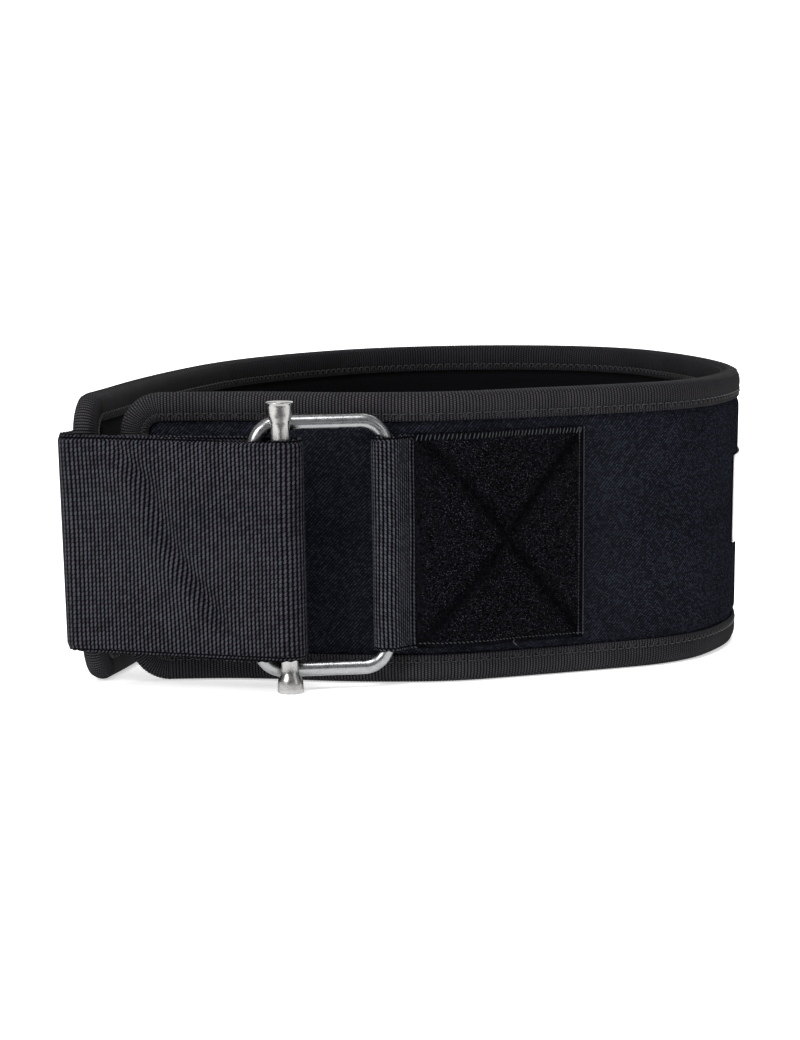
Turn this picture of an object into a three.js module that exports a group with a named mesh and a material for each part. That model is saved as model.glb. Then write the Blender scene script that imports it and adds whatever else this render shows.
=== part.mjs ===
// A padded weightlifting belt with a self-locking buckle, fastened and standing on its lower rim.
// Millimetres, +Z up. The band's path starts at its near end and runs to the right, seen from the front.
import * as THREE from 'three'

// Band
const BAND_HEIGHT = 100
const NEAR_END = { x: -95, y: 14 }
// How the band bends, from its near end to its far end. run: share of the band's length.
// turn: degrees to the left over that run.
const BAND_LENGTH = 756
const BEND = [
  { run: 0.033, turn: 2 },
  { run: 0.046, turn: -22 },
  { run: 0.053, turn: 18 },
  { run: 0.033, turn: 24 },
  { run: 0.079, turn: 4 },
  { run: 0.046, turn: 36 },
  { run: 0.093, turn: 34 },
  { run: 0.106, turn: 18 },
  { run: 0.106, turn: 60 },
  { run: 0.093, turn: 50 },
  { run: 0.119, turn: 28 },
  { run: 0.132, turn: 8 },
  { run: 0.061, turn: -4 },
]
const PATH_STEP = 12
const FINE_STEP = 6
// The whole belt opens upwards: this much wider for each millimetre of height
const FLARE = 0.0002

// Layers of the band
const EDGE_STACK = 5.4
const PANEL_PUFF = 1.1
const PUFF_SLOPE = 3.5
const LINING_THICKNESS = 1.2
const CLEARANCE = 0.3

// Binding tape folded over the edge
const BINDING_WIDTH = 10
const BINDING_WALL = 1
const RIM_ROUNDING = 2.2
const CORNER_RADIUS = 14
const CORNER_STEPS = 5

// Wire frame
const WIRE_DIAMETER = 5
const FRAME_WIDTH = 49.5
const FRAME_HEIGHT = 89
const FRAME_CORNER = 11
const FRAME_RIGHT_BAR = { x: -4.5, y: -8.2 }
const FRAME_YAW = 9.5
const BUCKLE_DROP = 0.8
const WIRE_SIDES = 12

// Slide bar
const SLIDE_DIAMETER = 8
const SLIDE_LENGTH = 98.6
const SLIDE_RISE = 0.4
const LIP_DIAMETER = 9.3
const LIP_HEIGHT = 3.2
const GROOVE_DIAMETER = 5.9
const GROOVE_HEIGHT = 3.6
const EDGE_ROUNDING = 0.8
const SLIDE_SIDES = 20
// Place of the bar along the window, as a share of the distance between the frame's side wires
const SLIDE_PLACE = 0.2
// Degrees by which the bar's top leans to the left
const SLIDE_LEAN = 0.9

// Strap
const STRAP_WIDTH = 75
const STRAP_THICKNESS = 2
const STRAP_SEWN_LENGTH = 110
const TAIL_LENGTH = 70

// Keeper loop and patch
const LOOP_WIDTH = 73.5
const LOOP_THICKNESS = 1.5
const PATCH_START = 101.5
const PATCH_LENGTH = 60
const PATCH_HEIGHT = 73.8
const PATCH_THICKNESS = 1.6
const PATCH_RISE = -0.2
// Depth to which the loop's two ends reach under the patch
const LOOP_TAIL = 15
// Beyond those ends the patch comes down to the band over this length
const PATCH_DRAPE = 22

// Plain label
const LABEL_START = 245
const LABEL_LENGTH = 75
const LABEL_HEIGHT = 32
const LABEL_THICKNESS = 0.6
const LABEL_CORNER = 2
const LABEL_RISE = 3.8

const COLOURS = {
  twill: 0x15161c,
  lining: 0x0b0b0c,
  binding: 0x2b2827,
  webbing: 0x2c2f35,
  patch: 0x111113,
  steel: 0xb9babb,
  label: 0xf1f1ee,
}

// Sizes that follow from the ones above
const MIDDLE = BAND_HEIGHT / 2
const RIM_HALF = EDGE_STACK / 2 + CLEARANCE + BINDING_WALL
const PANEL_HALF = EDGE_STACK / 2 + PANEL_PUFF
const STACK_INSET = BINDING_WALL + CLEARANCE
const WIRE_RADIUS = WIRE_DIAMETER / 2
const BUCKLE_MIDDLE = MIDDLE - BUCKLE_DROP
const STRAP_OFFSET = Math.max(RIM_HALF, PANEL_HALF) + CLEARANCE + STRAP_THICKNESS / 2
const LAYER_PITCH = STRAP_THICKNESS + CLEARANCE
const LOOP_OFFSET = PANEL_HALF + CLEARANCE + LOOP_THICKNESS / 2
const LOOP_PITCH = LOOP_THICKNESS + CLEARANCE
const PATCH_OFFSET = LOOP_OFFSET + LOOP_PITCH + LOOP_THICKNESS / 2 + CLEARANCE + PATCH_THICKNESS / 2
const LABEL_OFFSET = PANEL_HALF + CLEARANCE + LABEL_THICKNESS / 2
const radians = THREE.MathUtils.degToRad

// The point and heading at a distance along the band's middle line
function onPath(distance) {
  let x = NEAR_END.x
  let y = NEAR_END.y
  let heading = 0
  let left = distance
  for (const [index, part] of BEND.entries()) {
    const length = part.run * BAND_LENGTH
    const last = index === BEND.length - 1
    const run = last ? left : Math.min(left, length)
    const turn = radians(part.turn) * run / length
    const chord = Math.abs(turn) < 1e-9 ? run : 2 * run / turn * Math.sin(turn / 2)
    x += chord * Math.cos(heading + turn / 2)
    y += chord * Math.sin(heading + turn / 2)
    heading += turn
    left -= run
    if (left <= 0) break
  }
  return { x, y, heading }
}

// A place on the bent band: distance along it, height, and offset outwards from its middle line
function onBand(distance, height, offset) {
  const { x, y, heading } = onPath(distance)
  return new THREE.Vector3(x + offset * Math.sin(heading), y - offset * Math.cos(heading), height)
}

const bandEnd = BEND.reduce((sum, part) => sum + part.run, 0) * BAND_LENGTH
const bandCentre = onPath(0)
const farCentre = onPath(bandEnd / 2)
const flareCentre = {
  x: (bandCentre.x + farCentre.x) / 2,
  y: (bandCentre.y + farCentre.y) / 2,
}

// The outward lean of the standing belt
function flared(point) {
  const grow = 1 + FLARE * (point.z - MIDDLE)
  return new THREE.Vector3(
    flareCentre.x + (point.x - flareCentre.x) * grow,
    flareCentre.y + (point.y - flareCentre.y) * grow,
    point.z,
  )
}

function signedVolume(points, triangles) {
  let volume = 0
  for (const [a, b, c] of triangles) {
    volume += points[a].dot(new THREE.Vector3().crossVectors(points[b], points[c])) / 6
  }
  return volume
}

// One closed body from points and triangles, with its faces turned outwards
function closedBody(points, triangles) {
  const leaning = points.map(flared)
  const inward = signedVolume(leaning, triangles) < 0
  const geometry = new THREE.BufferGeometry()
  const flat = leaning.flatMap((point) => point.toArray())
  const order = triangles.flatMap(([a, b, c]) => (inward ? [a, c, b] : [a, b, c]))
  geometry.setAttribute('position', new THREE.Float32BufferAttribute(flat, 3))
  geometry.setIndex(order)
  geometry.computeVertexNormals()
  return geometry
}

// A bent plate between two grids of points, its front and its back, with its four edges closed
function plate(front, back) {
  const rows = front.length
  const columns = front[0].length
  const points = [...front.flat(), ...back.flat()]
  const at = (side, row, column) => (side * rows + row) * columns + column
  const triangles = []
  const quad = (a, b, c, d) => triangles.push([a, b, c], [a, c, d])
  for (let row = 0; row < rows - 1; row++) {
    for (let column = 0; column < columns - 1; column++) {
      quad(at(0, row, column), at(0, row + 1, column), at(0, row + 1, column + 1), at(0, row, column + 1))
      quad(at(1, row, column), at(1, row, column + 1), at(1, row + 1, column + 1), at(1, row + 1, column))
    }
    quad(at(0, row, 0), at(1, row, 0), at(1, row + 1, 0), at(0, row + 1, 0))
    const edge = columns - 1
    quad(at(0, row, edge), at(0, row + 1, edge), at(1, row + 1, edge), at(1, row, edge))
  }
  for (let column = 0; column < columns - 1; column++) {
    quad(at(0, 0, column), at(0, 0, column + 1), at(1, 0, column + 1), at(1, 0, column))
    const end = rows - 1
    quad(at(0, end, column), at(1, end, column), at(1, end, column + 1), at(0, end, column + 1))
  }
  return closedBody(points, triangles)
}

// A ring swept round a closed loop: each section holds the same number of points
function sweptRing(sections) {
  const count = sections.length
  const sides = sections[0].length
  const triangles = []
  for (let row = 0; row < count; row++) {
    const next = (row + 1) % count
    for (let side = 0; side < sides; side++) {
      const beside = (side + 1) % sides
      const a = row * sides + side
      const b = next * sides + side
      const c = next * sides + beside
      const d = row * sides + beside
      triangles.push([a, b, c], [a, c, d])
    }
  }
  return closedBody(sections.flat(), triangles)
}

function evenly(from, to, count) {
  return Array.from({ length: count + 1 }, (_, index) => from + (to - from) * index / count)
}

// Distances along the band at which every piece that lies on it has a station
const straightStations = evenly(CORNER_RADIUS, bandEnd - CORNER_RADIUS, Math.round(bandEnd / PATH_STEP))

// Stations of a panel whose outline lies inset from the band's edge, closer together at its round corners
function panelStations(inset) {
  const radius = CORNER_RADIUS - inset
  const corner = evenly(0, Math.PI / 2, CORNER_STEPS).slice(0, -1)
  const near = corner.map((angle) => inset + radius * (1 - Math.cos(angle)))
  const far = near.map((distance) => bandEnd - distance).reverse()
  return [...near, ...straightStations, ...far]
}

// How far the outline's round corner cuts in from the top and bottom at a distance along the band
function cornerCut(distance, inset) {
  const radius = CORNER_RADIUS - inset
  const fromEnd = Math.min(distance, bandEnd - distance) - inset
  const into = Math.max(radius - fromEnd, 0)
  return inset + radius - Math.sqrt(Math.max(radius * radius - into * into, 0))
}

// Half of the band's thickness: thin under the binding, then puffed up
function panelHalf(fromEdge) {
  const rise = THREE.MathUtils.clamp((fromEdge - BINDING_WIDTH - CLEARANCE) / PUFF_SLOPE, 0, 1)
  return EDGE_STACK / 2 + PANEL_PUFF * rise
}

// Heights at which a panel has a column of points, from its bottom edge to its top edge
function panelHeights(cut) {
  const under = BINDING_WIDTH + CLEARANCE
  const puffed = under + PUFF_SLOPE
  const low = [cut, Math.max(under, cut), Math.max(puffed, cut + PUFF_SLOPE)]
  return [...low, MIDDLE, ...low.map((height) => BAND_HEIGHT - height).reverse()]
}

function panel(frontOffset, backOffset) {
  const stations = panelStations(STACK_INSET)
  const face = (offsetAt) => stations.map((distance) => {
    const cut = cornerCut(distance, STACK_INSET)
    const fromEnd = Math.min(distance, bandEnd - distance)
    return panelHeights(cut).map((height) => {
      const fromEdge = Math.min(height, BAND_HEIGHT - height, fromEnd)
      return onBand(distance, height, offsetAt(panelHalf(fromEdge)))
    })
  })
  return plate(face(frontOffset), face(backOffset))
}

function paddedBand() {
  return panel((half) => half, (half) => -half + LINING_THICKNESS + CLEARANCE)
}

function innerLining() {
  return panel((half) => -half + LINING_THICKNESS, (half) => -half)
}

// The loop along the band's edge, as points with the direction that leads inwards
function edgeLoop() {
  const top = BAND_HEIGHT
  const bottom = straightStations.map((along) => ({ along, height: 0, inAlong: 0, inHeight: 1 }))
  const corner = (along, height, from) => evenly(from, from + Math.PI / 2, CORNER_STEPS).slice(1, -1)
    .map((angle) => ({
      along: along + CORNER_RADIUS * Math.cos(angle),
      height: height + CORNER_RADIUS * Math.sin(angle),
      inAlong: -Math.cos(angle),
      inHeight: -Math.sin(angle),
    }))
  const side = (along, from, to, inAlong) => evenly(from, to, 2)
    .map((height) => ({ along, height, inAlong, inHeight: 0 }))
  const upper = [...straightStations].reverse()
    .map((along) => ({ along, height: top, inAlong: 0, inHeight: -1 }))
  const nearX = CORNER_RADIUS
  const farX = bandEnd - CORNER_RADIUS
  const lowZ = CORNER_RADIUS
  const highZ = top - CORNER_RADIUS
  return [
    ...bottom,
    ...corner(farX, lowZ, -Math.PI / 2),
    ...side(bandEnd, lowZ, highZ, -1),
    ...corner(farX, highZ, 0),
    ...upper,
    ...corner(nearX, highZ, Math.PI / 2),
    ...side(0, highZ, lowZ, 1),
    ...corner(nearX, lowZ, Math.PI),
  ]
}

// The folded tape's section: how far in from the edge, and the offset from the middle line
function bindingSection() {
  const outer = RIM_HALF
  const inner = RIM_HALF - BINDING_WALL
  const flat = outer - RIM_ROUNDING
  const diagonal = RIM_ROUNDING * (1 - Math.SQRT1_2)
  const half = [
    { depth: 0, offset: flat },
    { depth: diagonal, offset: outer - diagonal },
    { depth: RIM_ROUNDING, offset: outer },
    { depth: BINDING_WIDTH, offset: outer },
    { depth: BINDING_WIDTH, offset: inner },
    { depth: BINDING_WALL, offset: inner },
  ]
  const mirrored = half.map(({ depth, offset }) => ({ depth, offset: -offset })).reverse()
  return [...half, ...mirrored]
}

function edgeBinding() {
  const section = bindingSection()
  return sweptRing(edgeLoop().map((point) => section.map(({ depth, offset }) => {
    const along = point.along + point.inAlong * depth
    const height = point.height + point.inHeight * depth
    return onBand(along, height, offset)
  })))
}

// The frame's local axes in plan: along its width, from the right bar, and out towards the front
const yaw = radians(FRAME_YAW)
const leftwards = { x: -Math.cos(yaw), y: -Math.sin(yaw) }
const frontwards = { x: Math.sin(yaw), y: -Math.cos(yaw) }
const barSpacing = FRAME_WIDTH - WIRE_DIAMETER

function onFrame(across, forward, height) {
  return new THREE.Vector3(
    FRAME_RIGHT_BAR.x + leftwards.x * across + frontwards.x * forward,
    FRAME_RIGHT_BAR.y + leftwards.y * across + frontwards.y * forward,
    height,
  )
}

// How far the frame's side wire bends in at the edge of a strip that is led round it
function cornerRoom(width) {
  const radius = FRAME_CORNER - WIRE_RADIUS
  const straight = (FRAME_HEIGHT - WIRE_DIAMETER) / 2 - radius
  const reach = THREE.MathUtils.clamp(width / 2 - straight, 0, radius)
  return radius - Math.sqrt(radius * radius - reach * reach)
}

function frameRing() {
  const halfWide = barSpacing / 2
  const halfHigh = (FRAME_HEIGHT - WIRE_DIAMETER) / 2
  const radius = FRAME_CORNER - WIRE_RADIUS
  const stations = []
  const signs = [[1, 1], [-1, 1], [-1, -1], [1, -1]]
  for (const [index, [wide, high]] of signs.entries()) {
    const from = index * Math.PI / 2
    for (const angle of evenly(from, from + Math.PI / 2, CORNER_STEPS)) {
      stations.push({
        across: halfWide + wide * (halfWide - radius) + radius * Math.cos(angle),
        height: high * (halfHigh - radius) + radius * Math.sin(angle),
        angle,
      })
    }
  }
  return sweptRing(stations.map((station) => evenly(0, 2 * Math.PI, WIRE_SIDES).slice(0, -1).map((turn) => {
    const out = WIRE_RADIUS * Math.cos(turn)
    const across = station.across + out * Math.cos(station.angle)
    const height = BUCKLE_MIDDLE + station.height + out * Math.sin(station.angle)
    return onFrame(across, WIRE_RADIUS * Math.sin(turn), height)
  })))
}

// The slide bar lies in front of the frame, with its two grooves on the frame's cross wires
const slideAcross = barSpacing * (1 - SLIDE_PLACE)
const slideForward = WIRE_RADIUS + CLEARANCE + GROOVE_DIAMETER / 2
const slideAxis = onFrame(slideAcross, slideForward, 0)
const leftBarAxis = onFrame(barSpacing, 0, 0)
const rightBarAxis = onFrame(0, 0, 0)

// The bar leans within the frame's plane, about its middle
function slideAxisAt(height) {
  const lean = height * Math.tan(radians(SLIDE_LEAN))
  return onFrame(slideAcross + lean, slideForward, BUCKLE_MIDDLE + height)
}

function slideBar() {
  const grooveAt = (FRAME_HEIGHT - WIRE_DIAMETER) / 2
  const top = SLIDE_LENGTH / 2 + SLIDE_RISE
  const bottom = SLIDE_LENGTH / 2 - SLIDE_RISE
  const end = (reach, sign) => [
    { radius: 0, height: sign * reach },
    { radius: LIP_DIAMETER / 2 - EDGE_ROUNDING, height: sign * reach },
    { radius: LIP_DIAMETER / 2, height: sign * (reach - EDGE_ROUNDING) },
    { radius: LIP_DIAMETER / 2, height: sign * (reach - LIP_HEIGHT + EDGE_ROUNDING) },
    { radius: SLIDE_DIAMETER / 2, height: sign * (reach - LIP_HEIGHT) },
    { radius: GROOVE_DIAMETER / 2, height: sign * (grooveAt + GROOVE_HEIGHT / 2 - EDGE_ROUNDING) },
    { radius: GROOVE_DIAMETER / 2, height: sign * (grooveAt - GROOVE_HEIGHT / 2 + EDGE_ROUNDING) },
    { radius: SLIDE_DIAMETER / 2, height: sign * (grooveAt - GROOVE_HEIGHT / 2 - EDGE_ROUNDING) },
  ]
  const profile = [...end(bottom, -1), ...end(top, 1).reverse()]
  const rings = profile.slice(1, -1).map(({ radius, height }) => evenly(0, 2 * Math.PI, SLIDE_SIDES)
    .slice(0, -1)
    .map((angle) => slideAxisAt(height).add(
      new THREE.Vector3(radius * Math.cos(angle), radius * Math.sin(angle), 0),
    )))
  const points = [
    ...rings.flat(),
    slideAxisAt(-bottom),
    slideAxisAt(top),
  ]
  const low = points.length - 2
  const high = points.length - 1
  const lastRing = (rings.length - 1) * SLIDE_SIDES
  const triangles = []
  for (let side = 0; side < SLIDE_SIDES; side++) {
    const beside = (side + 1) % SLIDE_SIDES
    for (let ring = 0; ring < rings.length - 1; ring++) {
      const a = ring * SLIDE_SIDES + side
      const b = ring * SLIDE_SIDES + beside
      triangles.push([a, b, b + SLIDE_SIDES], [a, b + SLIDE_SIDES, a + SLIDE_SIDES])
    }
    triangles.push([low, beside, side], [high, lastRing + side, lastRing + beside])
  }
  return closedBody(points, triangles)
}

// The line that leaves one round post and meets the next, both passed on the same side
function tangent(from, to, side) {
  const dx = to.x - from.x
  const dy = to.y - from.y
  const reach = Math.hypot(dx, dy)
  const heading = Math.atan2(dy, dx) - side * Math.asin((to.radius - from.radius) / reach)
  const normal = { x: -side * Math.sin(heading), y: side * Math.cos(heading) }
  return {
    heading,
    start: { x: from.x - normal.x * from.radius, y: from.y - normal.y * from.radius },
    end: { x: to.x - normal.x * to.radius, y: to.y - normal.y * to.radius },
  }
}

// A flat strip's middle line round a row of posts, all on its left (side 1) or all on its right (side -1)
function roundPosts(posts, side, startHeading, endHeading) {
  const arcStep = radians(20)
  const line = []
  let arrive = startHeading
  for (const [index, post] of posts.entries()) {
    const next = posts[index + 1]
    const leaving = next ? tangent(post, next, side) : null
    const leave = leaving ? leaving.heading : endHeading
    const wanted = THREE.MathUtils.euclideanModulo(side * (leave - arrive) + arcStep, 2 * Math.PI) - arcStep
    const turn = side * Math.max(wanted, 0)
    const count = Math.max(1, Math.ceil(Math.abs(turn) / arcStep))
    for (const heading of turn === 0 ? [leave] : evenly(arrive, arrive + turn, count)) {
      line.push({
        x: post.x + side * Math.sin(heading) * post.radius,
        y: post.y - side * Math.cos(heading) * post.radius,
        heading,
      })
    }
    if (leaving) {
      const length = Math.hypot(leaving.end.x - leaving.start.x, leaving.end.y - leaving.start.y)
      const between = Math.max(1, Math.round(length / PATH_STEP))
      for (const share of evenly(0, 1, between).slice(1, -1)) {
        line.push({
          x: leaving.start.x + (leaving.end.x - leaving.start.x) * share,
          y: leaving.start.y + (leaving.end.y - leaving.start.y) * share,
          heading: leaving.heading,
        })
      }
    }
    arrive = leave
  }
  return line
}

// A strip of webbing stood on edge along a middle line
function strip(line, width, thickness) {
  const heights = [-width / 2, 0, width / 2]
  const face = (sign) => line.map(({ x, y, heading }) => heights.map((height) => new THREE.Vector3(
    x + sign * thickness / 2 * Math.sin(heading),
    y - sign * thickness / 2 * Math.cos(heading),
    BUCKLE_MIDDLE + height,
  )))
  return plate(face(1), face(-1))
}

// A line that follows the band's outer face, in either direction
function alongBand(from, to, offset) {
  const forwards = to > from
  const count = Math.ceil(Math.abs(to - from) / FINE_STEP)
  return evenly(from, to, count).map((distance) => {
    const { x, y } = onBand(distance, 0, offset)
    const { heading } = onPath(distance)
    return { x, y, heading: forwards ? heading : heading + Math.PI }
  })
}

function strap() {
  const turnAt = bandEnd - RIM_ROUNDING
  const { heading } = onPath(turnAt)
  const underRadius = RIM_ROUNDING + CLEARANCE + STRAP_THICKNESS / 2
  const overRadius = underRadius + STRAP_OFFSET - RIM_HALF - CLEARANCE - STRAP_THICKNESS / 2 + LAYER_PITCH
  const rimCorner = (side, radius) => {
    const { x, y } = onBand(turnAt, 0, side * (RIM_HALF - RIM_ROUNDING))
    return { x, y, radius }
  }
  const besideStrap = CLEARANCE + STRAP_THICKNESS / 2
  const leftRadius = WIRE_RADIUS + cornerRoom(STRAP_WIDTH) + besideStrap
  const leftBar = { x: leftBarAxis.x, y: leftBarAxis.y, radius: leftRadius }
  const leanReach = STRAP_WIDTH / 2 * Math.tan(radians(SLIDE_LEAN))
  const slide = { x: slideAxis.x, y: slideAxis.y, radius: SLIDE_DIAMETER / 2 + leanReach + besideStrap }
  const sewn = alongBand(bandEnd - STRAP_SEWN_LENGTH, turnAt, STRAP_OFFSET)
  const towards = crossing(rimCorner(-1, underRadius), leftBar)
  const rimCorners = [rimCorner(1, underRadius), rimCorner(-1, underRadius)]
  const round = roundPosts(rimCorners, 1, heading, towards.heading)
  const over = [leftBar, slide, rimCorner(-1, overRadius), rimCorner(1, overRadius)]
  const back = roundPosts(over, -1, towards.heading, heading + Math.PI)
  const tail = alongBand(turnAt, bandEnd - TAIL_LENGTH - STRAP_SEWN_LENGTH, STRAP_OFFSET + LAYER_PITCH)
  const straight = between(round.at(-1), back[0])
  const line = [...sewn.slice(0, -1), ...round, ...straight, ...back, ...tail.slice(1)]
  return strip(line, STRAP_WIDTH, STRAP_THICKNESS)
}

// The line that leaves a post on its left and meets the next post on its right
function crossing(from, to) {
  const dx = to.x - from.x
  const dy = to.y - from.y
  const reach = Math.hypot(dx, dy)
  const heading = Math.atan2(dy, dx) + Math.asin((from.radius + to.radius) / reach)
  return { heading }
}

// Even stations on the straight run between two points of a middle line
function between(first, last) {
  const length = Math.hypot(last.x - first.x, last.y - first.y)
  const count = Math.max(1, Math.round(length / PATH_STEP))
  const heading = Math.atan2(last.y - first.y, last.x - first.x)
  return evenly(0, 1, count).slice(1, -1).map((share) => ({
    x: first.x + (last.x - first.x) * share,
    y: first.y + (last.y - first.y) * share,
    heading,
  }))
}

function keeperLoop() {
  const reach = PATCH_START + LOOP_TAIL
  const leaveAt = PATCH_START - LOOP_THICKNESS
  const radius = WIRE_RADIUS + cornerRoom(LOOP_WIDTH) + CLEARANCE + LOOP_THICKNESS / 2
  const back = alongBand(reach, leaveAt, LOOP_OFFSET)
  const front = alongBand(leaveAt, reach, LOOP_OFFSET + LOOP_PITCH)
  const bar = { x: rightBarAxis.x, y: rightBarAxis.y, radius }
  const arriving = tangent({ ...back.at(-1), radius: 0 }, bar, 1)
  const leaving = tangent(bar, { ...front[0], radius: 0 }, 1)
  const round = roundPosts([bar], 1, arriving.heading, leaving.heading)
  const line = [
    ...back,
    ...round,
    ...front,
  ]
  return strip(line, LOOP_WIDTH, LOOP_THICKNESS)
}

// A flat piece laid on the band, with heights from its own middle. cutAt gives the share that a clipped
// corner takes off them.
function laidOn(start, length, heights, offsetAt, thickness, middle, cutAt) {
  const steps = Math.ceil(length / FINE_STEP)
  const face = (sign) => evenly(0, length, steps).map((along) => heights.map((up) => {
    const height = middle + up * (1 - cutAt(along))
    return onBand(start + along, height, offsetAt(along) + sign * thickness / 2)
  }))
  return plate(face(1), face(-1))
}

// The patch lies over the loop's sewn ends first, and then on the band itself
function hookPatch() {
  const onBandOffset = PANEL_HALF + 2 * CLEARANCE + PATCH_THICKNESS / 2
  const sinkFrom = LOOP_TAIL + LOOP_THICKNESS
  const offsetAt = (along) => THREE.MathUtils.lerp(PATCH_OFFSET, onBandOffset,
    THREE.MathUtils.smoothstep(along, sinkFrom, sinkFrom + PATCH_DRAPE))
  const heights = [-PATCH_HEIGHT / 2, 0, PATCH_HEIGHT / 2]
  return laidOn(PATCH_START, PATCH_LENGTH, heights, offsetAt, PATCH_THICKNESS, MIDDLE + PATCH_RISE, () => 0)
}

function sideLabel() {
  const heights = [-LABEL_HEIGHT / 2, 0, LABEL_HEIGHT / 2]
  const clipped = LABEL_CORNER / (LABEL_HEIGHT / 2)
  const cutAt = (along) => (Math.min(along, LABEL_LENGTH - along) < LABEL_CORNER / 2 ? clipped : 0)
  const offsetAt = () => LABEL_OFFSET
  return laidOn(LABEL_START, LABEL_LENGTH, heights, offsetAt, LABEL_THICKNESS, MIDDLE + LABEL_RISE, cutAt)
}

function material(colour, roughness, metalness) {
  return new THREE.MeshStandardMaterial({ color: colour, roughness, metalness, flatShading: true })
}

const twill = material(COLOURS.twill, 0.85, 0)
const lining = material(COLOURS.lining, 0.95, 0)
const binding = material(COLOURS.binding, 0.8, 0)
const webbing = material(COLOURS.webbing, 0.7, 0)
const fuzz = material(COLOURS.patch, 1, 0)
const steel = material(COLOURS.steel, 0.28, 1)
const print = material(COLOURS.label, 0.5, 0)

const pieces = [
  { name: 'padded_band', geometry: paddedBand(), material: twill },
  { name: 'inner_lining', geometry: innerLining(), material: lining },
  { name: 'edge_binding', geometry: edgeBinding(), material: binding },
  { name: 'strap', geometry: strap(), material: webbing },
  { name: 'frame_ring', geometry: frameRing(), material: steel },
  { name: 'slide_bar', geometry: slideBar(), material: steel },
  { name: 'keeper_loop', geometry: keeperLoop(), material: webbing },
  { name: 'hook_patch', geometry: hookPatch(), material: fuzz },
  { name: 'side_label', geometry: sideLabel(), material: print },
]

const belt = new THREE.Group()
for (const piece of pieces) {
  const mesh = new THREE.Mesh(piece.geometry, piece.material)
  mesh.name = piece.name
  belt.add(mesh)
}

// The origin lies under the middle of the whole belt, on the surface that it stands on
const bounds = new THREE.Box3().setFromObject(belt)
const middle = bounds.getCenter(new THREE.Vector3())
belt.position.set(-middle.x, -middle.y, -bounds.min.z)

export default belt
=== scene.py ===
"""A padded weightlifting belt with a self-locking buckle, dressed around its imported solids.

Lengths are metres. The band's path starts at its near end and runs to the right, seen from the front.
"""

import math

import bmesh
import bpy
import numpy as np
from mathutils import Matrix, Vector


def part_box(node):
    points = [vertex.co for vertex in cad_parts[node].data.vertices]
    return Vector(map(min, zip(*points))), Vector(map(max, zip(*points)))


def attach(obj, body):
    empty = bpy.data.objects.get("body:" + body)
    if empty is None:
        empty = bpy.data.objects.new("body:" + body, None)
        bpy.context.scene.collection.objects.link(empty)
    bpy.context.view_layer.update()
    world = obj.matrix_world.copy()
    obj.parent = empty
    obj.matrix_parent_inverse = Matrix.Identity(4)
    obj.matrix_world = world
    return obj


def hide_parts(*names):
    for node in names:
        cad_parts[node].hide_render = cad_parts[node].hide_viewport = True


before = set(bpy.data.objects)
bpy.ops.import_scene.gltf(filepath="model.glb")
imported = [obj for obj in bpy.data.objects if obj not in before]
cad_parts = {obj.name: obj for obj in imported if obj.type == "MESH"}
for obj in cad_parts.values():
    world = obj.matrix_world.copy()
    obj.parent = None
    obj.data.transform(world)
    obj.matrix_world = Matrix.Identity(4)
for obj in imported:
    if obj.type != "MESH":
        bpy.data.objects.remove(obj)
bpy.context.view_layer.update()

MM = 0.001

# Camera, worked out from the perspective of both rims
CAMERA_DISTANCE = 1.225
CAMERA_RISE = 0.0939
CAMERA_PITCH = math.radians(6.411)
CAMERA_ROLL = math.radians(0.7155)
CAMERA_LENS = 125.17
SENSOR = 36.0
# The lying card's nearer and farther edge in front of the belt, and its half width
FLOOR_CARD = (0.23, 1.3, 0.2)
# The standing card's distance in front of the belt, its half width and its top
FRONT_CARD = (1.4, 0.34, 0.45)
CARD_GREY = (0.14, 0.14, 0.145, 1)
FLOOR_HALF = 6.0
FLOOR_WHITE = (0.93, 0.93, 0.93, 1)
FLOOR_GLOW = 0.55
SUN_TOWARDS = (0.05, 0.3, -1.0)
SUN_STRENGTH = 2.3
SUN_WIDTH = math.radians(25)
# Panels of light: name, place, width and height, power
PANEL_LIGHTS = (
    ("key", (-0.95, -1.1, 0.8), (0.7, 0.7), 17),
    ("fill", (1.3, -1.0, 0.6), (0.5, 0.9), 2.4),
    ("back", (0.5, 1.4, 0.9), (0.8, 0.8), 7),
)
LIT_PLACE = (0, 0, 0.05)
# The sky's strength, as ranges: the backdrop over the way back and the way up, and the rest over the way up
SKY_BACK = (0.25, 0.75, 0.0, 1.0)
SKY_BACK_RISE = (0.12, 0.45, 1.0, 0.0)
SKY_RISE = (0.1, 0.9, 0.2, 0.5)

# The band, as the solids have it
BAND_HEIGHT = 100 * MM
BAND_LENGTH = 756 * MM
NEAR_END = (-95 * MM, 14 * MM)
# How the band bends, from its near end: share of its length, and degrees to the left over that run
BEND = (
    (0.033, 2),
    (0.046, -22),
    (0.053, 18),
    (0.033, 24),
    (0.079, 4),
    (0.046, 36),
    (0.093, 34),
    (0.106, 18),
    (0.106, 60),
    (0.093, 50),
    (0.119, 28),
    (0.132, 8),
    (0.061, -4),
)
FLARE = 0.2
EDGE_STACK = 5.4 * MM
PANEL_PUFF = 1.1 * MM
PUFF_SLOPE = (-0.6 * MM, 3.5 * MM)
LINING_THICKNESS = 1.2 * MM
CLEARANCE = 0.3 * MM
BINDING_WIDTH = 10 * MM
BINDING_WALL = 1 * MM
# How far the folded tape's inner side keeps from the edge, from the faces and from its own free edge
TAPE_PLAY = (0.1 * MM, 0.25 * MM, 0.4 * MM)
CORNER_RADIUS = 14 * MM

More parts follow.
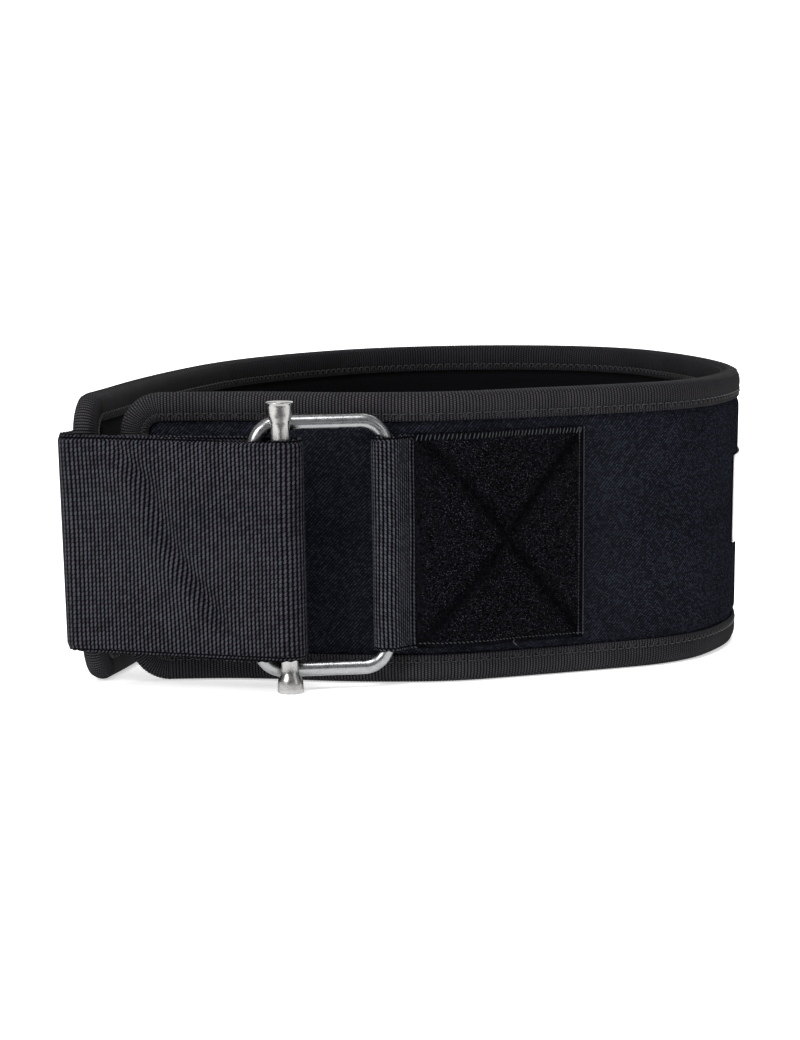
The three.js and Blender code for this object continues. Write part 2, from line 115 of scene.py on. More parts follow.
# The wire frame and the slide bar
WIRE_RADIUS = 2.5 * MM
FRAME_WIDTH = 49.5 * MM
FRAME_HEIGHT = 89 * MM
FRAME_CORNER = 11 * MM
FRAME_RIGHT_BAR = (-4.5 * MM, -8.2 * MM)
FRAME_YAW = math.radians(9.5)
BUCKLE_DROP = 0.8 * MM
SLIDE_RADIUS = 4 * MM
GROOVE_RADIUS = 2.95 * MM
SLIDE_PLACE = 0.2
SLIDE_LEAN = math.radians(0.9)

# The strap, the loop, the patch and the label
STRAP_WIDTH = 75 * MM
STRAP_THICKNESS = 2 * MM
STRAP_SEWN_LENGTH = 110 * MM
TAIL_LENGTH = 70 * MM
RIM_ROUNDING = 2.2 * MM
LOOP_WIDTH = 73.5 * MM
LOOP_THICKNESS = 1.5 * MM
LOOP_TAIL = 15 * MM
PATCH_START = 101.5 * MM
PATCH_LENGTH = 60 * MM
PATCH_HEIGHT = 73.8 * MM
PATCH_THICKNESS = 1.6 * MM
PATCH_CORNER = 1.2 * MM
PATCH_RISE = -0.2 * MM
PATCH_DRAPE = 22 * MM
PATCH_BORDER = 3.4 * MM
PILE_HEIGHT = 0.9 * MM
GROOVE_HALF = 3 * MM
GROOVE_DEPTH = 0.7
FIELD_SWELL = 0.5 * MM
FIELD_REACH = 12 * MM
BORDER_SINK = 0.5 * MM
PILE_SLOPE = (PATCH_BORDER - 1.4 * MM, PATCH_BORDER + 0.6 * MM)
LABEL_START = 245 * MM
LABEL_LENGTH = 75 * MM
LABEL_HEIGHT = 32 * MM
LABEL_RISE = 3.8 * MM
LABEL_THICKNESS = 0.6 * MM
LABEL_CORNER = 2 * MM

MIDDLE = BAND_HEIGHT / 2
RIM_HALF = EDGE_STACK / 2 + CLEARANCE + BINDING_WALL
PANEL_HALF = EDGE_STACK / 2 + PANEL_PUFF
STACK_INSET = BINDING_WALL + CLEARANCE
BUCKLE_MIDDLE = MIDDLE - BUCKLE_DROP
STRAP_OFFSET = max(RIM_HALF, PANEL_HALF) + CLEARANCE + STRAP_THICKNESS / 2
LAYER_PITCH = STRAP_THICKNESS + CLEARANCE
LOOP_OFFSET = PANEL_HALF + CLEARANCE + LOOP_THICKNESS / 2
LOOP_PITCH = LOOP_THICKNESS + CLEARANCE
PATCH_OFFSET = LOOP_OFFSET + LOOP_PITCH + LOOP_THICKNESS / 2 + CLEARANCE + PATCH_THICKNESS / 2
LABEL_OFFSET = PANEL_HALF + CLEARANCE + LABEL_THICKNESS / 2

# Fine surface, in the sizes that the photograph shows
STRAP_COLUMN = 1.48 * MM
STRAP_DASH = 1.55 * MM
LOOP_COLUMN = 1.3 * MM
LOOP_DASH = 1.4 * MM
# How the dashes of every other column are shifted: middle, swing over the pattern, and rise per column
LANE_SHIFT = 0.28
LANE_SWING = 0.22
LANE_SLOPE = 0.07
WEAVE_DEPTH = 0.34 * MM
# How much of its height a float loses at its ends, and how abruptly
FLOAT_DIP = 0.25
FLOAT_ENDS = 0.4
# Where the woven relief fades: along the strip, and from its edges
WEAVE_FADE = 4 * MM
WEAVE_MARGIN = 1.5 * MM
# A strip's rounded edge as a share of its thickness, and its scallops' reach, depth and pitch
EDGE_ROUNDING = 0.55
SCALLOP_REACH = 0.7 * MM
SCALLOP_DEPTH = 0.35 * MM
STRAP_SCALLOPS = 3 * MM
LOOP_SCALLOPS = 2.1 * MM
# How far the strap is woven before its fold and beyond its turn
FINE_BEFORE = 9 * MM
FINE_BEYOND = 14 * MM
LOOP_PATTERN = 18 * MM
RIB_PITCH = 1.1 * MM
RIB_HEIGHT = 0.17 * MM
STITCH_PITCH = 3 * MM
STITCH_SHARE = 0.72
STITCH_DEPTHS = (8.9 * MM, 7.3 * MM)
STITCH_STEP = 0.5 * MM
THREAD_RADIUS = 0.2 * MM
PATCH_EDGE = 1 * MM
STROKE_PITCH = 1.3 * MM
STROKE_LEAN = 0.35 * MM
# Strokes' and dots' foot and head, from the patch's nearer edge, and a dot's length as a share of the pitch
STROKE_REACH = (2.9 * MM, 0.5 * MM)
DOT_REACH = (1.9 * MM, 1.5 * MM)
DOT_SHARE = 0.6
RIGHT_ROWS = (0.5 * MM, 2.3 * MM)
ROW_PITCH = 1.15 * MM
ROW_SHARE = 1.02
# How far strokes and rows stray, in millimetres
STROKE_STRAY = 0.15
ROW_STRAY = 0.06

# Unevenness: height, and how far apart its waves are
BAND_WAVES = (0.16 * MM, 17 * MM)
LINING_WAVES = (0.2 * MM, 14 * MM)
TAPE_WAVES = (0.12 * MM, 21 * MM)
# Which share of the tape's depth stays straight
TAPE_CALM = 0.6
STRAP_WAVES = (0.6 * MM, 14 * MM)
COLUMN_WAVES = ((0.5 * MM, 13 * MM), (0.16 * MM, 4 * MM))
WAVE_COUNT = 6
# Where the waves set in, measured from the band's outline
WAVES_FROM = 10 * MM
BAND_WAVES_TO = 22 * MM
LINING_WAVES_TO = 20 * MM

# A turn by nearly a whole round counts as one back, up to this angle
BACK_TURN = 0.35

# How closely the meshes follow the shapes
PANEL_COLUMNS = 400
PANEL_END_COLUMNS = 22
PANEL_END_REACH = 6 * MM
PANEL_ROWS = 20
PANEL_EDGE_ROWS = 18
PANEL_EDGE_SHARE = 0.2
WIRE_SIDES = 40
WIRE_BEND_STEPS = 25
# Metal grain along the wire's last straight run
LAST_RUN = 60 * MM
ROD_SIDES = 64
STRIP_ROWS = 126
STRIP_STEP = 2 * MM
PATCH_GRID = (140, 160)
LABEL_GRID = (90, 40)
PILE_FIBRES = 22000

# One fibre: half its width, how deep it is rooted, its knee's rise, turn and reach, and its tip's reach
FIBRE_HALF = 0.075 * MM
FIBRE_ROOT = 0.1 * MM
KNEE_RISE = 0.32 * MM
KNEE_TURN = 0.9
KNEE_REACH = 0.35
TIP_REACH = 0.9
# Fibres in millimetres: their sizes, how high their tips stand and how clear the pressed diagonals are
FIBRE_SIZES = (0.35, 0.75)
TIP_RISES = (0.0, 0.35)
GROOVE_CLEAR = (0.3, 2.0)
FIBRE_BORDER = PATCH_BORDER - 1.3 * MM

RNG = np.random.default_rng(7)


# The band's path
def bend_knots():
    """Start of each bend: distance, place, heading and curvature."""
    knots = []
    at, x, y, heading = 0.0, NEAR_END[0], NEAR_END[1], 0.0
    for share, degrees in BEND:
        length = share * BAND_LENGTH
        turn = math.radians(degrees)
        knots.append((at, x, y, heading, turn / length))
        chord = length * float(np.sinc(turn / 2 / math.pi))
        x += chord * math.cos(heading + turn / 2)
        y += chord * math.sin(heading + turn / 2)
        heading += turn
        at += length
    return np.array(knots), at


KNOTS, BAND_END = bend_knots()


def path(distance):
    """Place and heading on the band's middle line."""
    distance = np.asarray(distance, float)
    index = np.clip(np.searchsorted(KNOTS[:, 0], distance, side="right") - 1, 0, len(KNOTS) - 1)
    at, x, y, heading, curve = np.moveaxis(KNOTS[index], -1, 0)
    run = distance - at
    turn = run * curve
    chord = run * np.sinc(turn / 2 / math.pi)
    return x + chord * np.cos(heading + turn / 2), y + chord * np.sin(heading + turn / 2), heading + turn


FAR_SIDE = path(BAND_END / 2)
FLARE_CENTRE = np.array([(near + float(far)) / 2 for near, far in zip(NEAR_END, FAR_SIDE)])


def flared(points):
    """The outward lean of the standing belt."""
    grow = 1 + FLARE * (points[..., 2:3] - MIDDLE)
    plan = FLARE_CENTRE + (points[..., :2] - FLARE_CENTRE) * grow
    return np.concatenate([plan, points[..., 2:3]], axis=-1)


def on_band(distance, height, offset):
    """A place on the bent band, before the model's shift to its origin."""
    distance, height, offset = np.broadcast_arrays(distance, height, offset)
    x, y, heading = path(distance)
    return np.stack([x + offset * np.sin(heading), y - offset * np.cos(heading), height], axis=-1)


def model_shift():
    """What moves this script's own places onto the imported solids."""
    along = np.linspace(0, BAND_END, 400)
    rim = [flared(on_band(along, height, side * RIM_HALF)) for height in (0, BAND_HEIGHT) for side in (-1, 1)]
    rim = np.concatenate(rim)
    low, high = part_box("edge_binding")
    own = (rim.min(axis=0) + rim.max(axis=0)) / 2
    packed = (np.array(low) + np.array(high)) / 2
    return np.array([packed[0] - own[0], packed[1] - own[1], 0.0])


SHIFT = model_shift()


def placed(points):
    return flared(points) + SHIFT


# Meshes
def linked(name, data):
    """A new object in the scene."""
    item = bpy.data.objects.new(name, data)
    bpy.context.scene.collection.objects.link(item)
    return item


def new_piece(name, vertices, faces, uvs):
    mesh = bpy.data.meshes.new(name)
    mesh.from_pydata([tuple(v) for v in vertices], [], [tuple(f) for f in faces])
    layer = mesh.uv_layers.new(name="weave")
    layer.data.foreach_set("uv", np.asarray(uvs, np.float32).ravel())
    mesh.polygons.foreach_set("use_smooth", [True] * len(mesh.polygons))
    mesh.update()
    return linked(name, mesh)


def turned_out(piece):
    """Makes the faces of a closed body look outwards."""
    shape = bmesh.new()
    shape.from_mesh(piece.data)
    if shape.calc_volume(signed=True) < 0:
        bmesh.ops.reverse_faces(shape, faces=shape.faces)
    shape.to_mesh(piece.data)
    shape.free()
    return piece


def swept(name, rings, along, across, closed=False):
    """A closed body from rings of points. along and across give each point's place in millimetres."""
    count, sides, _ = rings.shape
    rows = np.arange(count if closed else count - 1)
    columns = np.arange(sides)
    row, column = (grid.ravel() for grid in np.meshgrid(rows, columns, indexing="ij"))
    below = (row + 1) % count
    beside = (column + 1) % sides
    faces = np.stack(
        [row * sides + column, below * sides + column, below * sides + beside, row * sides + beside], axis=1
    )
    along = np.broadcast_to(along, (count + 1, sides + 1))
    across = np.broadcast_to(across, (count + 1, sides + 1))
    corner = [(row, column), (row + 1, column), (row + 1, column + 1), (row, column + 1)]
    uv = np.stack([np.stack([along[r, c], across[r, c]], axis=-1) for r, c in corner], axis=1)
    faces = faces.tolist()
    uv = uv.reshape(-1, 2)
    if not closed:
        for last, order in ((0, range(sides - 1, -1, -1)), (count - 1, range(sides))):
            faces.append([last * sides + k for k in order])
            uv = np.concatenate([uv, [(along[last, k], across[last, k]) for k in order]])
    return turned_out(new_piece(name, rings.reshape(-1, 3), faces, uv))


def wrapped(front, back):
    """A length over a body's front and back, in millimetres, closed round it and repeated at its end."""
    both = np.concatenate([front, back, front[:, :1]], axis=1)
    return np.concatenate([both, both[-1:]]) / MM


def smoothstep(low, high, value):
    share = np.clip((value - low) / (high - low), 0, 1)
    return share * share * (3 - 2 * share)


def bumpy(u, v, scale, seed):
    """Soft, repeatable unevenness between -1 and 1 from a few crossing waves."""
    own = np.random.default_rng(seed)
    total = np.zeros(np.broadcast(u, v).shape)
    for _ in range(WAVE_COUNT):
        angle, phase = own.uniform(0, 2 * math.pi, 2)
        stretch = own.uniform(0.6, 1.6)
        total = total + np.sin((u * math.cos(angle) + v * math.sin(angle)) / scale * stretch + phase)
    return total / WAVE_COUNT


# Padded band and lining
def cut_at(distance, inset):
    """How far the outline's round corner cuts in at a distance along the band."""
    radius = CORNER_RADIUS - inset
    from_end = np.minimum(distance, BAND_END - distance) - inset
    into = np.clip(radius - from_end, 0, radius)
    return inset + radius - np.sqrt(np.maximum(radius**2 - into**2, 0))


def edge_distance(distance, height):
    """Distance from the band's outline, round its corners too."""
    from_end = np.minimum(distance, BAND_END - distance)
    from_side = np.minimum(height, BAND_HEIGHT - height)
    corner_x = np.maximum(CORNER_RADIUS - from_end, 0)
    corner_z = np.maximum(CORNER_RADIUS - from_side, 0)
    in_corner = (corner_x > 0) & (corner_z > 0)
    radial = CORNER_RADIUS - np.hypot(corner_x, corner_z)
    return np.where(in_corner, radial, np.minimum(from_end, from_side))


def puff(distance, height):
    """Half the band's thickness, thin under the binding and full beyond it."""
    inward = edge_distance(distance, height) - BINDING_WIDTH
    return EDGE_STACK / 2 + PANEL_PUFF * smoothstep(*PUFF_SLOPE, inward)


def panel_grid():
    """Distances and heights over the panel, close together at its ends and its edges."""
    end = CORNER_RADIUS + PANEL_END_REACH
    ends = STACK_INSET + end * (1 - np.cos(np.linspace(0, math.pi / 2, PANEL_END_COLUMNS)))[:-1]
    middle = np.linspace(end + STACK_INSET, BAND_END - end - STACK_INSET, PANEL_COLUMNS)
    along = np.concatenate([ends, middle, BAND_END - ends[::-1]])
    edge = np.linspace(0, PANEL_EDGE_SHARE, PANEL_EDGE_ROWS)
    rows = np.linspace(PANEL_EDGE_SHARE, 1 - PANEL_EDGE_SHARE, PANEL_ROWS)
    share = np.concatenate([edge[:-1], rows[:-1], 1 - edge[::-1]])
    low = cut_at(along, STACK_INSET)
    height = low[:, None] + (BAND_HEIGHT - 2 * low[:, None]) * share[None, :]
    return np.broadcast_to(along[:, None], height.shape), height


def slab(name, distance, height, front, back, along, across):
    """A body on the band between two offsets. along and across give its cloth's own measures."""
    outer, inner = (placed(on_band(distance, height, offset)) for offset in (front, back))
    rings = np.concatenate([outer, inner[:, ::-1]], axis=1)
    return swept(name, rings, wrapped(along, along[:, ::-1]), wrapped(across, across[:, ::-1]))


def panel(name, front, back):
    along, height = panel_grid()
    return slab(name, along, height, front(along, height), back(along, height), along, height)


def band_front(along, height):
    inside = smoothstep(WAVES_FROM, BAND_WAVES_TO, edge_distance(along, height))
    high, apart = BAND_WAVES
    return puff(along, height) + high * bumpy(along, height, apart, 3) * inside


def band_back(along, height):
    return -puff(along, height) + LINING_THICKNESS + CLEARANCE


def lining_front(along, height):
    return -puff(along, height) + LINING_THICKNESS


def lining_back(along, height):
    inside = smoothstep(WAVES_FROM, LINING_WAVES_TO, edge_distance(along, height))
    high, apart = LINING_WAVES
    return -puff(along, height) - high * bumpy(along, height, apart, 5) * inside


# Binding
# The folded tape's section: depth in from the edge and offset, from the outer free edge to the rim
TAPE_PROFILE = (
    (10.0, 3.05),
    (10.02, 3.5),
    (9.6, 3.86),
    (8.5, 3.82),
    (7.65, 3.5),
    (6.8, 3.84),
    (5.4, 4.0),
    (3.8, 3.93),
    (2.5, 3.6),
    (1.5, 3.05),
    (0.7, 2.2),
    (0.18, 1.15),
    (0.0, 0.0),
)


def edge_loop(step):
    """The loop along the band's edge: distance, height, and the direction that leads inwards."""
    straight = BAND_END - 2 * CORNER_RADIUS
    upright = BAND_HEIGHT - 2 * CORNER_RADIUS
    quarter = CORNER_RADIUS * math.pi / 2
    total = 2 * straight + 2 * upright + 4 * quarter
    count = int(round(total / step))
    at = np.arange(count) * total / count
    along = np.zeros(count)
    height = np.zeros(count)
    in_along = np.zeros(count)
    in_height = np.zeros(count)
    near, far = CORNER_RADIUS, BAND_END - CORNER_RADIUS
    low, high = CORNER_RADIUS, BAND_HEIGHT - CORNER_RADIUS
    start = 0.0
    sides = (
        (straight, (near, 0.0), (1, 0), (0, 1), (far, low)),
        (upright, (BAND_END, low), (0, 1), (-1, 0), (far, high)),
        (straight, (far, BAND_HEIGHT), (-1, 0), (0, -1), (near, high)),
        (upright, (0.0, high), (0, -1), (1, 0), (near, low)),
    )
    for index, (length, origin, going, inwards, centre) in enumerate(sides):
        on = (at >= start) & (at < start + length)
        run = at[on] - start
        along[on] = origin[0] + going[0] * run
        height[on] = origin[1] + going[1] * run
        in_along[on], in_height[on] = inwards
        start += length
        on = (at >= start) & (at < start + quarter)
        angle = -math.pi / 2 + index * math.pi / 2 + (at[on] - start) / CORNER_RADIUS
        along[on] = centre[0] + CORNER_RADIUS * np.cos(angle)
        height[on] = centre[1] + CORNER_RADIUS * np.sin(angle)
        in_along[on] = -np.cos(angle)
        in_height[on] = -np.sin(angle)
        start += quarter
    return at, along, height, in_along, in_height, total


def tape_section():
    half = np.array(TAPE_PROFILE) * MM
    at_edge, at_face, at_end = TAPE_PLAY
    wall = BINDING_WALL + at_edge
    flap = EDGE_STACK / 2 + at_face
    inside = np.array([(wall, 0), (wall, flap), (BINDING_WIDTH - at_end, flap)])
    outer = np.concatenate([half, half[-2::-1] * (1, -1)])
    inner = np.concatenate([inside[::-1] * (1, -1), inside[1:]])
    return np.concatenate([outer, inner]), len(outer)


def binding():
    step = RIB_PITCH / 2
    at, along, height, in_along, in_height, total = edge_loop(step)
    section, outer_count = tape_section()
    depth = np.broadcast_to(section[:, 0], (len(at), len(section))).copy()
    offset = np.broadcast_to(section[:, 1], (len(at), len(section))).copy()
    ridge = np.where(np.arange(len(at)) % 2 == 0, 1.0, 0.0)[:, None]
    body = np.zeros(len(section))
    body[:outer_count] = 1
    normal = np.gradient(section, axis=0)
    normal = np.stack([-normal[:, 1], normal[:, 0]], axis=1)
    normal /= np.linalg.norm(normal, axis=1, keepdims=True)
    outwards = np.sign((normal * (section - (BINDING_WIDTH / 2, 0))).sum(axis=1))
    normal *= np.where(outwards == 0, 1, outwards)[:, None]
    lift = -RIB_HEIGHT * (1 - ridge) * body[None, :]
    depth += lift * normal[None, :, 0]
    offset += lift * normal[None, :, 1]
    high, apart = TAPE_WAVES
    depth += high * bumpy(at[:, None], 0, apart, 11) * (section[None, :, 0] > BINDING_WIDTH * TAPE_CALM)
    over = along[:, None] + in_along[:, None] * depth
    up = height[:, None] + in_height[:, None] * depth
    points = on_band(over, up, offset)
    run = np.concatenate([[0], np.cumsum(np.linalg.norm(np.diff(section, axis=0), axis=1))])
    run = np.concatenate([run, [run[-1] + BINDING_WALL]])
    v = np.broadcast_to(run[None, :] / MM, (len(at) + 1, len(section) + 1))
    u = np.broadcast_to(np.concatenate([at, [total]])[:, None] / MM, v.shape)
    return swept("binding_tape", placed(points), u, v, closed=True)


# Threads
def threads(name, lines, sides=5):
    """Sewn threads with closed, tapered ends. A line is its points and the way out of the cloth."""
    vertices, faces, uvs = [], [], []
    base = 0
    angle = np.linspace(0, 2 * math.pi, sides, endpoint=False)
    for points, out in lines:
        count = len(points)
        going = np.gradient(points, axis=0)
        side = np.cross(going, out)
        side /= np.linalg.norm(side, axis=1, keepdims=True)
        other = np.cross(side, going)
        other /= np.linalg.norm(other, axis=1, keepdims=True)
        width = THREAD_RADIUS * np.sqrt(np.clip(1 - np.linspace(-1, 1, count) ** 4, 0.12, 1))
        ring = side[:, None] * np.cos(angle)[None, :, None] + other[:, None] * np.sin(angle)[None, :, None]
        ring = points[:, None] + ring * width[:, None, None]
        vertices.append(ring.reshape(-1, 3))
        for row in range(count - 1):
            low, high = base + row * sides, base + (row + 1) * sides
            for column in range(sides):
                beside = (column + 1) % sides
                faces.append((low + column, high + column, high + beside, low + beside))
                uvs.extend([(row, column), (row + 1, column), (row + 1, column + 1), (row, column + 1)])
        faces.append(tuple(base + k for k in range(sides)))
        uvs.extend([(0, k) for k in range(sides)])
        faces.append(tuple(base + (count - 1) * sides + k for k in reversed(range(sides))))
        uvs.extend([(count, k) for k in range(sides)])
        base += count * sides
    return new_piece(name, np.concatenate(vertices), faces, uvs)


# One sewn loop: share of its length along the tape, share of its depth, and rise over the tape
SEWN_LOOP = (
    (0.0, 0.0, -0.12),
    (0.02, 0.35, 0.16),
    (0.1, 0.9, 0.2),
    (0.5, 1.0, 0.24),
    (0.9, 0.9, 0.2),
    (0.98, 0.35, 0.16),
    (1.0, 0.0, -0.12),
)


def binding_stitches(name, side):
    """The row of small sewn loops along the tape's free edge, on one face."""
    _, along, height, in_along, in_height, total = edge_loop(STITCH_STEP)
    profile = np.array(TAPE_PROFILE[1:])[::-1] * MM
    outer, inner = STITCH_DEPTHS
    count = int(total / STITCH_PITCH)

    def on_tape(run, depth, rise):
        k = int(run / total * len(along)) % len(along)
        offset = side * (np.interp(depth, profile[:, 0], profile[:, 1]) + rise)
        return placed(on_band(along[k] + in_along[k] * depth, height[k] + in_height[k] * depth, offset))

    lines = []
    for index in range(count):
        start = index * total / count
        points = [
            on_tape(start + run * STITCH_SHARE * STITCH_PITCH, outer + down * (inner - outer), rise * MM)
            for run, down, rise in SEWN_LOOP
        ]
        out = on_tape(start, outer, MM) - on_tape(start, outer, 0)
        lines.append((np.array(points), out / MM))
    return threads(name, lines)


# Buckle
LEFTWARDS = np.array([-math.cos(FRAME_YAW), -math.sin(FRAME_YAW)])
FRONTWARDS = np.array([math.sin(FRAME_YAW), -math.cos(FRAME_YAW)])
BAR_SPACING = FRAME_WIDTH - 2 * WIRE_RADIUS
CROSS_WIRE = FRAME_HEIGHT / 2 - WIRE_RADIUS


def on_frame(across, forward):
    return np.array(FRAME_RIGHT_BAR) + LEFTWARDS * across + FRONTWARDS * forward


SLIDE_AXIS = on_frame(BAR_SPACING * (1 - SLIDE_PLACE), WIRE_RADIUS + CLEARANCE + GROOVE_RADIUS)
LEFT_BAR = on_frame(BAR_SPACING, 0)
RIGHT_BAR = on_frame(0, 0)


def frame_wire():
    half_wide, half_high = BAR_SPACING / 2, CROSS_WIRE
    radius = FRAME_CORNER - WIRE_RADIUS
    stations = []
    for index, (wide, high) in enumerate(((1, 1), (-1, 1), (-1, -1), (1, -1))):
        for angle in np.linspace(index * math.pi / 2, (index + 1) * math.pi / 2, WIRE_BEND_STEPS):
            stations.append((half_wide + wide * (half_wide - radius) + radius * math.cos(angle),
                             high * (half_high - radius) + radius * math.sin(angle), angle))
    rings, along, run = [], [], 0.0
    turns = np.linspace(0, 2 * math.pi, WIRE_SIDES, endpoint=False)
    previous = None
    for across, height, angle in stations:
        out = WIRE_RADIUS * np.cos(turns)
        place = np.array(FRAME_RIGHT_BAR)[None] + LEFTWARDS[None] * (across + out * math.cos(angle))[:, None]
        place = place + FRONTWARDS[None] * (WIRE_RADIUS * np.sin(turns))[:, None]
        level = BUCKLE_MIDDLE + height + out * math.sin(angle)
        rings.append(np.concatenate([place, level[:, None]], axis=1))
        if previous is not None:
            run += math.hypot(across - previous[0], height - previous[1])
        along.append(run)
        previous = (across, height)
    along.append(run + LAST_RUN)
    v = np.linspace(0, 2 * math.pi * WIRE_RADIUS, len(turns) + 1)[None, :] / MM
    u = np.array(along)[:, None] / MM
    return swept("frame_wire", placed(np.array(rings)), u, v, closed=True)


# The bar's turned outline beyond the strap: rise from the groove and radius, in millimetres
ROD_TOP = (
    (-7.0, 3.6),
    (-4.5, 3.3),
    (-2.0, 3.2),
    (0.0, 3.2),
    (1.0, 3.4),
    (2.0, 3.75),
    (3.2, 4.0),
    (4.6, 4.15),
    (6.0, 4.24),
    (6.9, 4.3),
    (7.05, 4.46),
    (7.4, 4.54),
    (7.62, 4.48),
    (7.7, 4.3),
    (7.72, 2.2),
    (7.72, 0.05),
)
ROD_BOTTOM = (
    (-6.6, 3.5),
    (-5.0, 3.15),
    (-3.4, 3.0),
    (-2.0, 3.0),
    (-0.6, 3.1),
    (0.6, 3.28),
    (1.4, 3.65),
    (2.2, 4.05),
    (3.0, 4.28),
    (4.2, 4.42),
    (5.6, 4.54),
    (6.5, 4.6),
    (6.8, 4.5),
    (6.94, 4.2),
    (6.97, 3.8),
    (6.97, 0.05),
)


def rod_axis(height):
    """The bar's axis at a height from its middle: it leans within the frame's plane."""
    across = BAR_SPACING * (1 - SLIDE_PLACE) + height * math.tan(SLIDE_LEAN)
    return on_frame(across, WIRE_RADIUS + CLEARANCE + GROOVE_RADIUS)


def slide_rod():
    rows = [(-CROSS_WIRE - rise * MM, radius * MM) for rise, radius in reversed(ROD_BOTTOM)]
    rows += [(CROSS_WIRE + rise * MM, radius * MM) for rise, radius in ROD_TOP]
    rows = np.array(rows)
    turns = np.linspace(0, 2 * math.pi, ROD_SIDES, endpoint=False)
    axis = np.array([rod_axis(height) for height in rows[:, 0]])
    rings = np.stack([
        axis[:, :1] + rows[:, 1:2] * np.cos(turns)[None],
        axis[:, 1:] + rows[:, 1:2] * np.sin(turns)[None],
        np.broadcast_to(BUCKLE_MIDDLE + rows[:, :1], (len(rows), len(turns))),
    ], axis=-1)
    u = np.concatenate([rows[:, 0], rows[-1:, 0]])[:, None] / MM
    v = np.linspace(0, 2 * math.pi * SLIDE_RADIUS, len(turns) + 1)[None, :] / MM
    return swept("slide_rod", placed(rings), u, v)


# Strips of webbing
def tangent(start, end, side):
    (ax, ay, ar), (bx, by, br) = start, end
    reach = math.hypot(bx - ax, by - ay)
    return math.atan2(by - ay, bx - ax) - side * math.asin((br - ar) / reach)


def round_posts(posts, side, arrive, leave_last, step=math.radians(8)):
    """A strip's middle line round a row of posts, all on its left (1) or all on its right (-1)."""
    line = []
    for index, post in enumerate(posts):
        leave = tangent(post, posts[index + 1], side) if index + 1 < len(posts) else leave_last
        wanted = (side * (leave - arrive) + BACK_TURN) % (2 * math.pi) - BACK_TURN
        turn = side * max(wanted, 0.0)
        count = max(1, math.ceil(abs(turn) / step))
        headings = np.linspace(arrive, arrive + turn, count + 1) if turn else [leave]
        for heading in headings:
            line.append((post[0] + side * math.sin(heading) * post[2],
                         post[1] - side * math.cos(heading) * post[2], heading))
        arrive = leave
    return line


def along_band(start, end, offset, step=4 * MM):
    count = max(2, math.ceil(abs(end - start) / step))
    distances = np.linspace(start, end, count + 1)
    places = on_band(distances, 0.0, offset)
    headings = path(distances)[2] + (0 if end > start else math.pi)
    return [(x, y, heading) for (x, y, _), heading in zip(places, headings)]


def strap_line():
    turn_at = BAND_END - RIM_ROUNDING
    heading = float(path(turn_at)[2])
    beside = CLEARANCE + STRAP_THICKNESS / 2
    under = RIM_ROUNDING + beside
    over = under + STRAP_OFFSET - RIM_HALF - beside + LAYER_PITCH

    def rim_corner(side, radius):
        place = on_band(turn_at, 0.0, side * (RIM_HALF - RIM_ROUNDING))
        return (place[0], place[1], radius)

    lean_reach = STRAP_WIDTH / 2 * math.tan(SLIDE_LEAN)
    left_bar = (LEFT_BAR[0], LEFT_BAR[1], WIRE_RADIUS + corner_room(STRAP_WIDTH) + beside)
    slide = (SLIDE_AXIS[0], SLIDE_AXIS[1], SLIDE_RADIUS + lean_reach + beside)
    start, end = rim_corner(-1, under), left_bar
    reach = math.hypot(end[0] - start[0], end[1] - start[1])
    towards = math.atan2(end[1] - start[1], end[0] - start[0]) + math.asin((start[2] + end[2]) / reach)
    sewn = along_band(BAND_END - STRAP_SEWN_LENGTH, turn_at, STRAP_OFFSET)
    first = round_posts([rim_corner(1, under), rim_corner(-1, under)], 1, heading, towards)
    posts = [left_bar, slide, rim_corner(-1, over), rim_corner(1, over)]
    second = round_posts(posts, -1, towards, heading + math.pi)
    tail = along_band(turn_at, BAND_END - TAIL_LENGTH - STRAP_SEWN_LENGTH, STRAP_OFFSET + LAYER_PITCH)
    return sewn[:-1] + first + second + tail[1:]


def corner_room(width):
    radius = FRAME_CORNER - WIRE_RADIUS
    reach = min(max(width / 2 - (CROSS_WIRE - radius), 0), radius)
    return radius - math.sqrt(radius**2 - reach**2)


def stations(line, fine_from, fine_to, fine, coarse):
    """Distances along a middle line, close together between two of them."""
    length = run_of(line)[0][-1]
    parts = ((0.0, fine_from, coarse), (fine_from, fine_to, fine), (fine_to, length, coarse))
    steps = [np.linspace(start, end, max(2, math.ceil((end - start) / step)), endpoint=False)
             for start, end, step in parts if end > start]
    return np.concatenate(steps + [[length]])


def run_of(line):
    """Distance, place and turned heading at each point of a middle line."""
    line = np.array(line)
    run = np.concatenate([[0], np.cumsum(np.hypot(*np.diff(line[:, :2], axis=0).T))])
    keep = np.concatenate([[True], np.diff(run) > 1e-7])
    return run[keep], line[keep, 0], line[keep, 1], np.unwrap(line[keep, 2])


def weave_lanes(u, v, weave):
    """Lane number across the columns and step number along each dash, as the cloth's material has them."""
    column, dash, start, length = weave
    lane = u / column
    index = np.floor(lane)
    alternate = LANE_SHIFT - LANE_SWING * np.cos(2 * math.pi * (u - start) / length)
    return lane, v / dash + alternate * (index % 2) + LANE_SLOPE * index


def hump(value):
    centred = 2 * (value - np.floor(value)) - 1
    return 1 - centred * centred


def waver(at, height):
    """How far the weave's columns stray sideways."""
    (wide, far), (fine, near) = COLUMN_WAVES
    return wide * bumpy(at, height, far, 21) + fine * bumpy(at, height, near, 22)


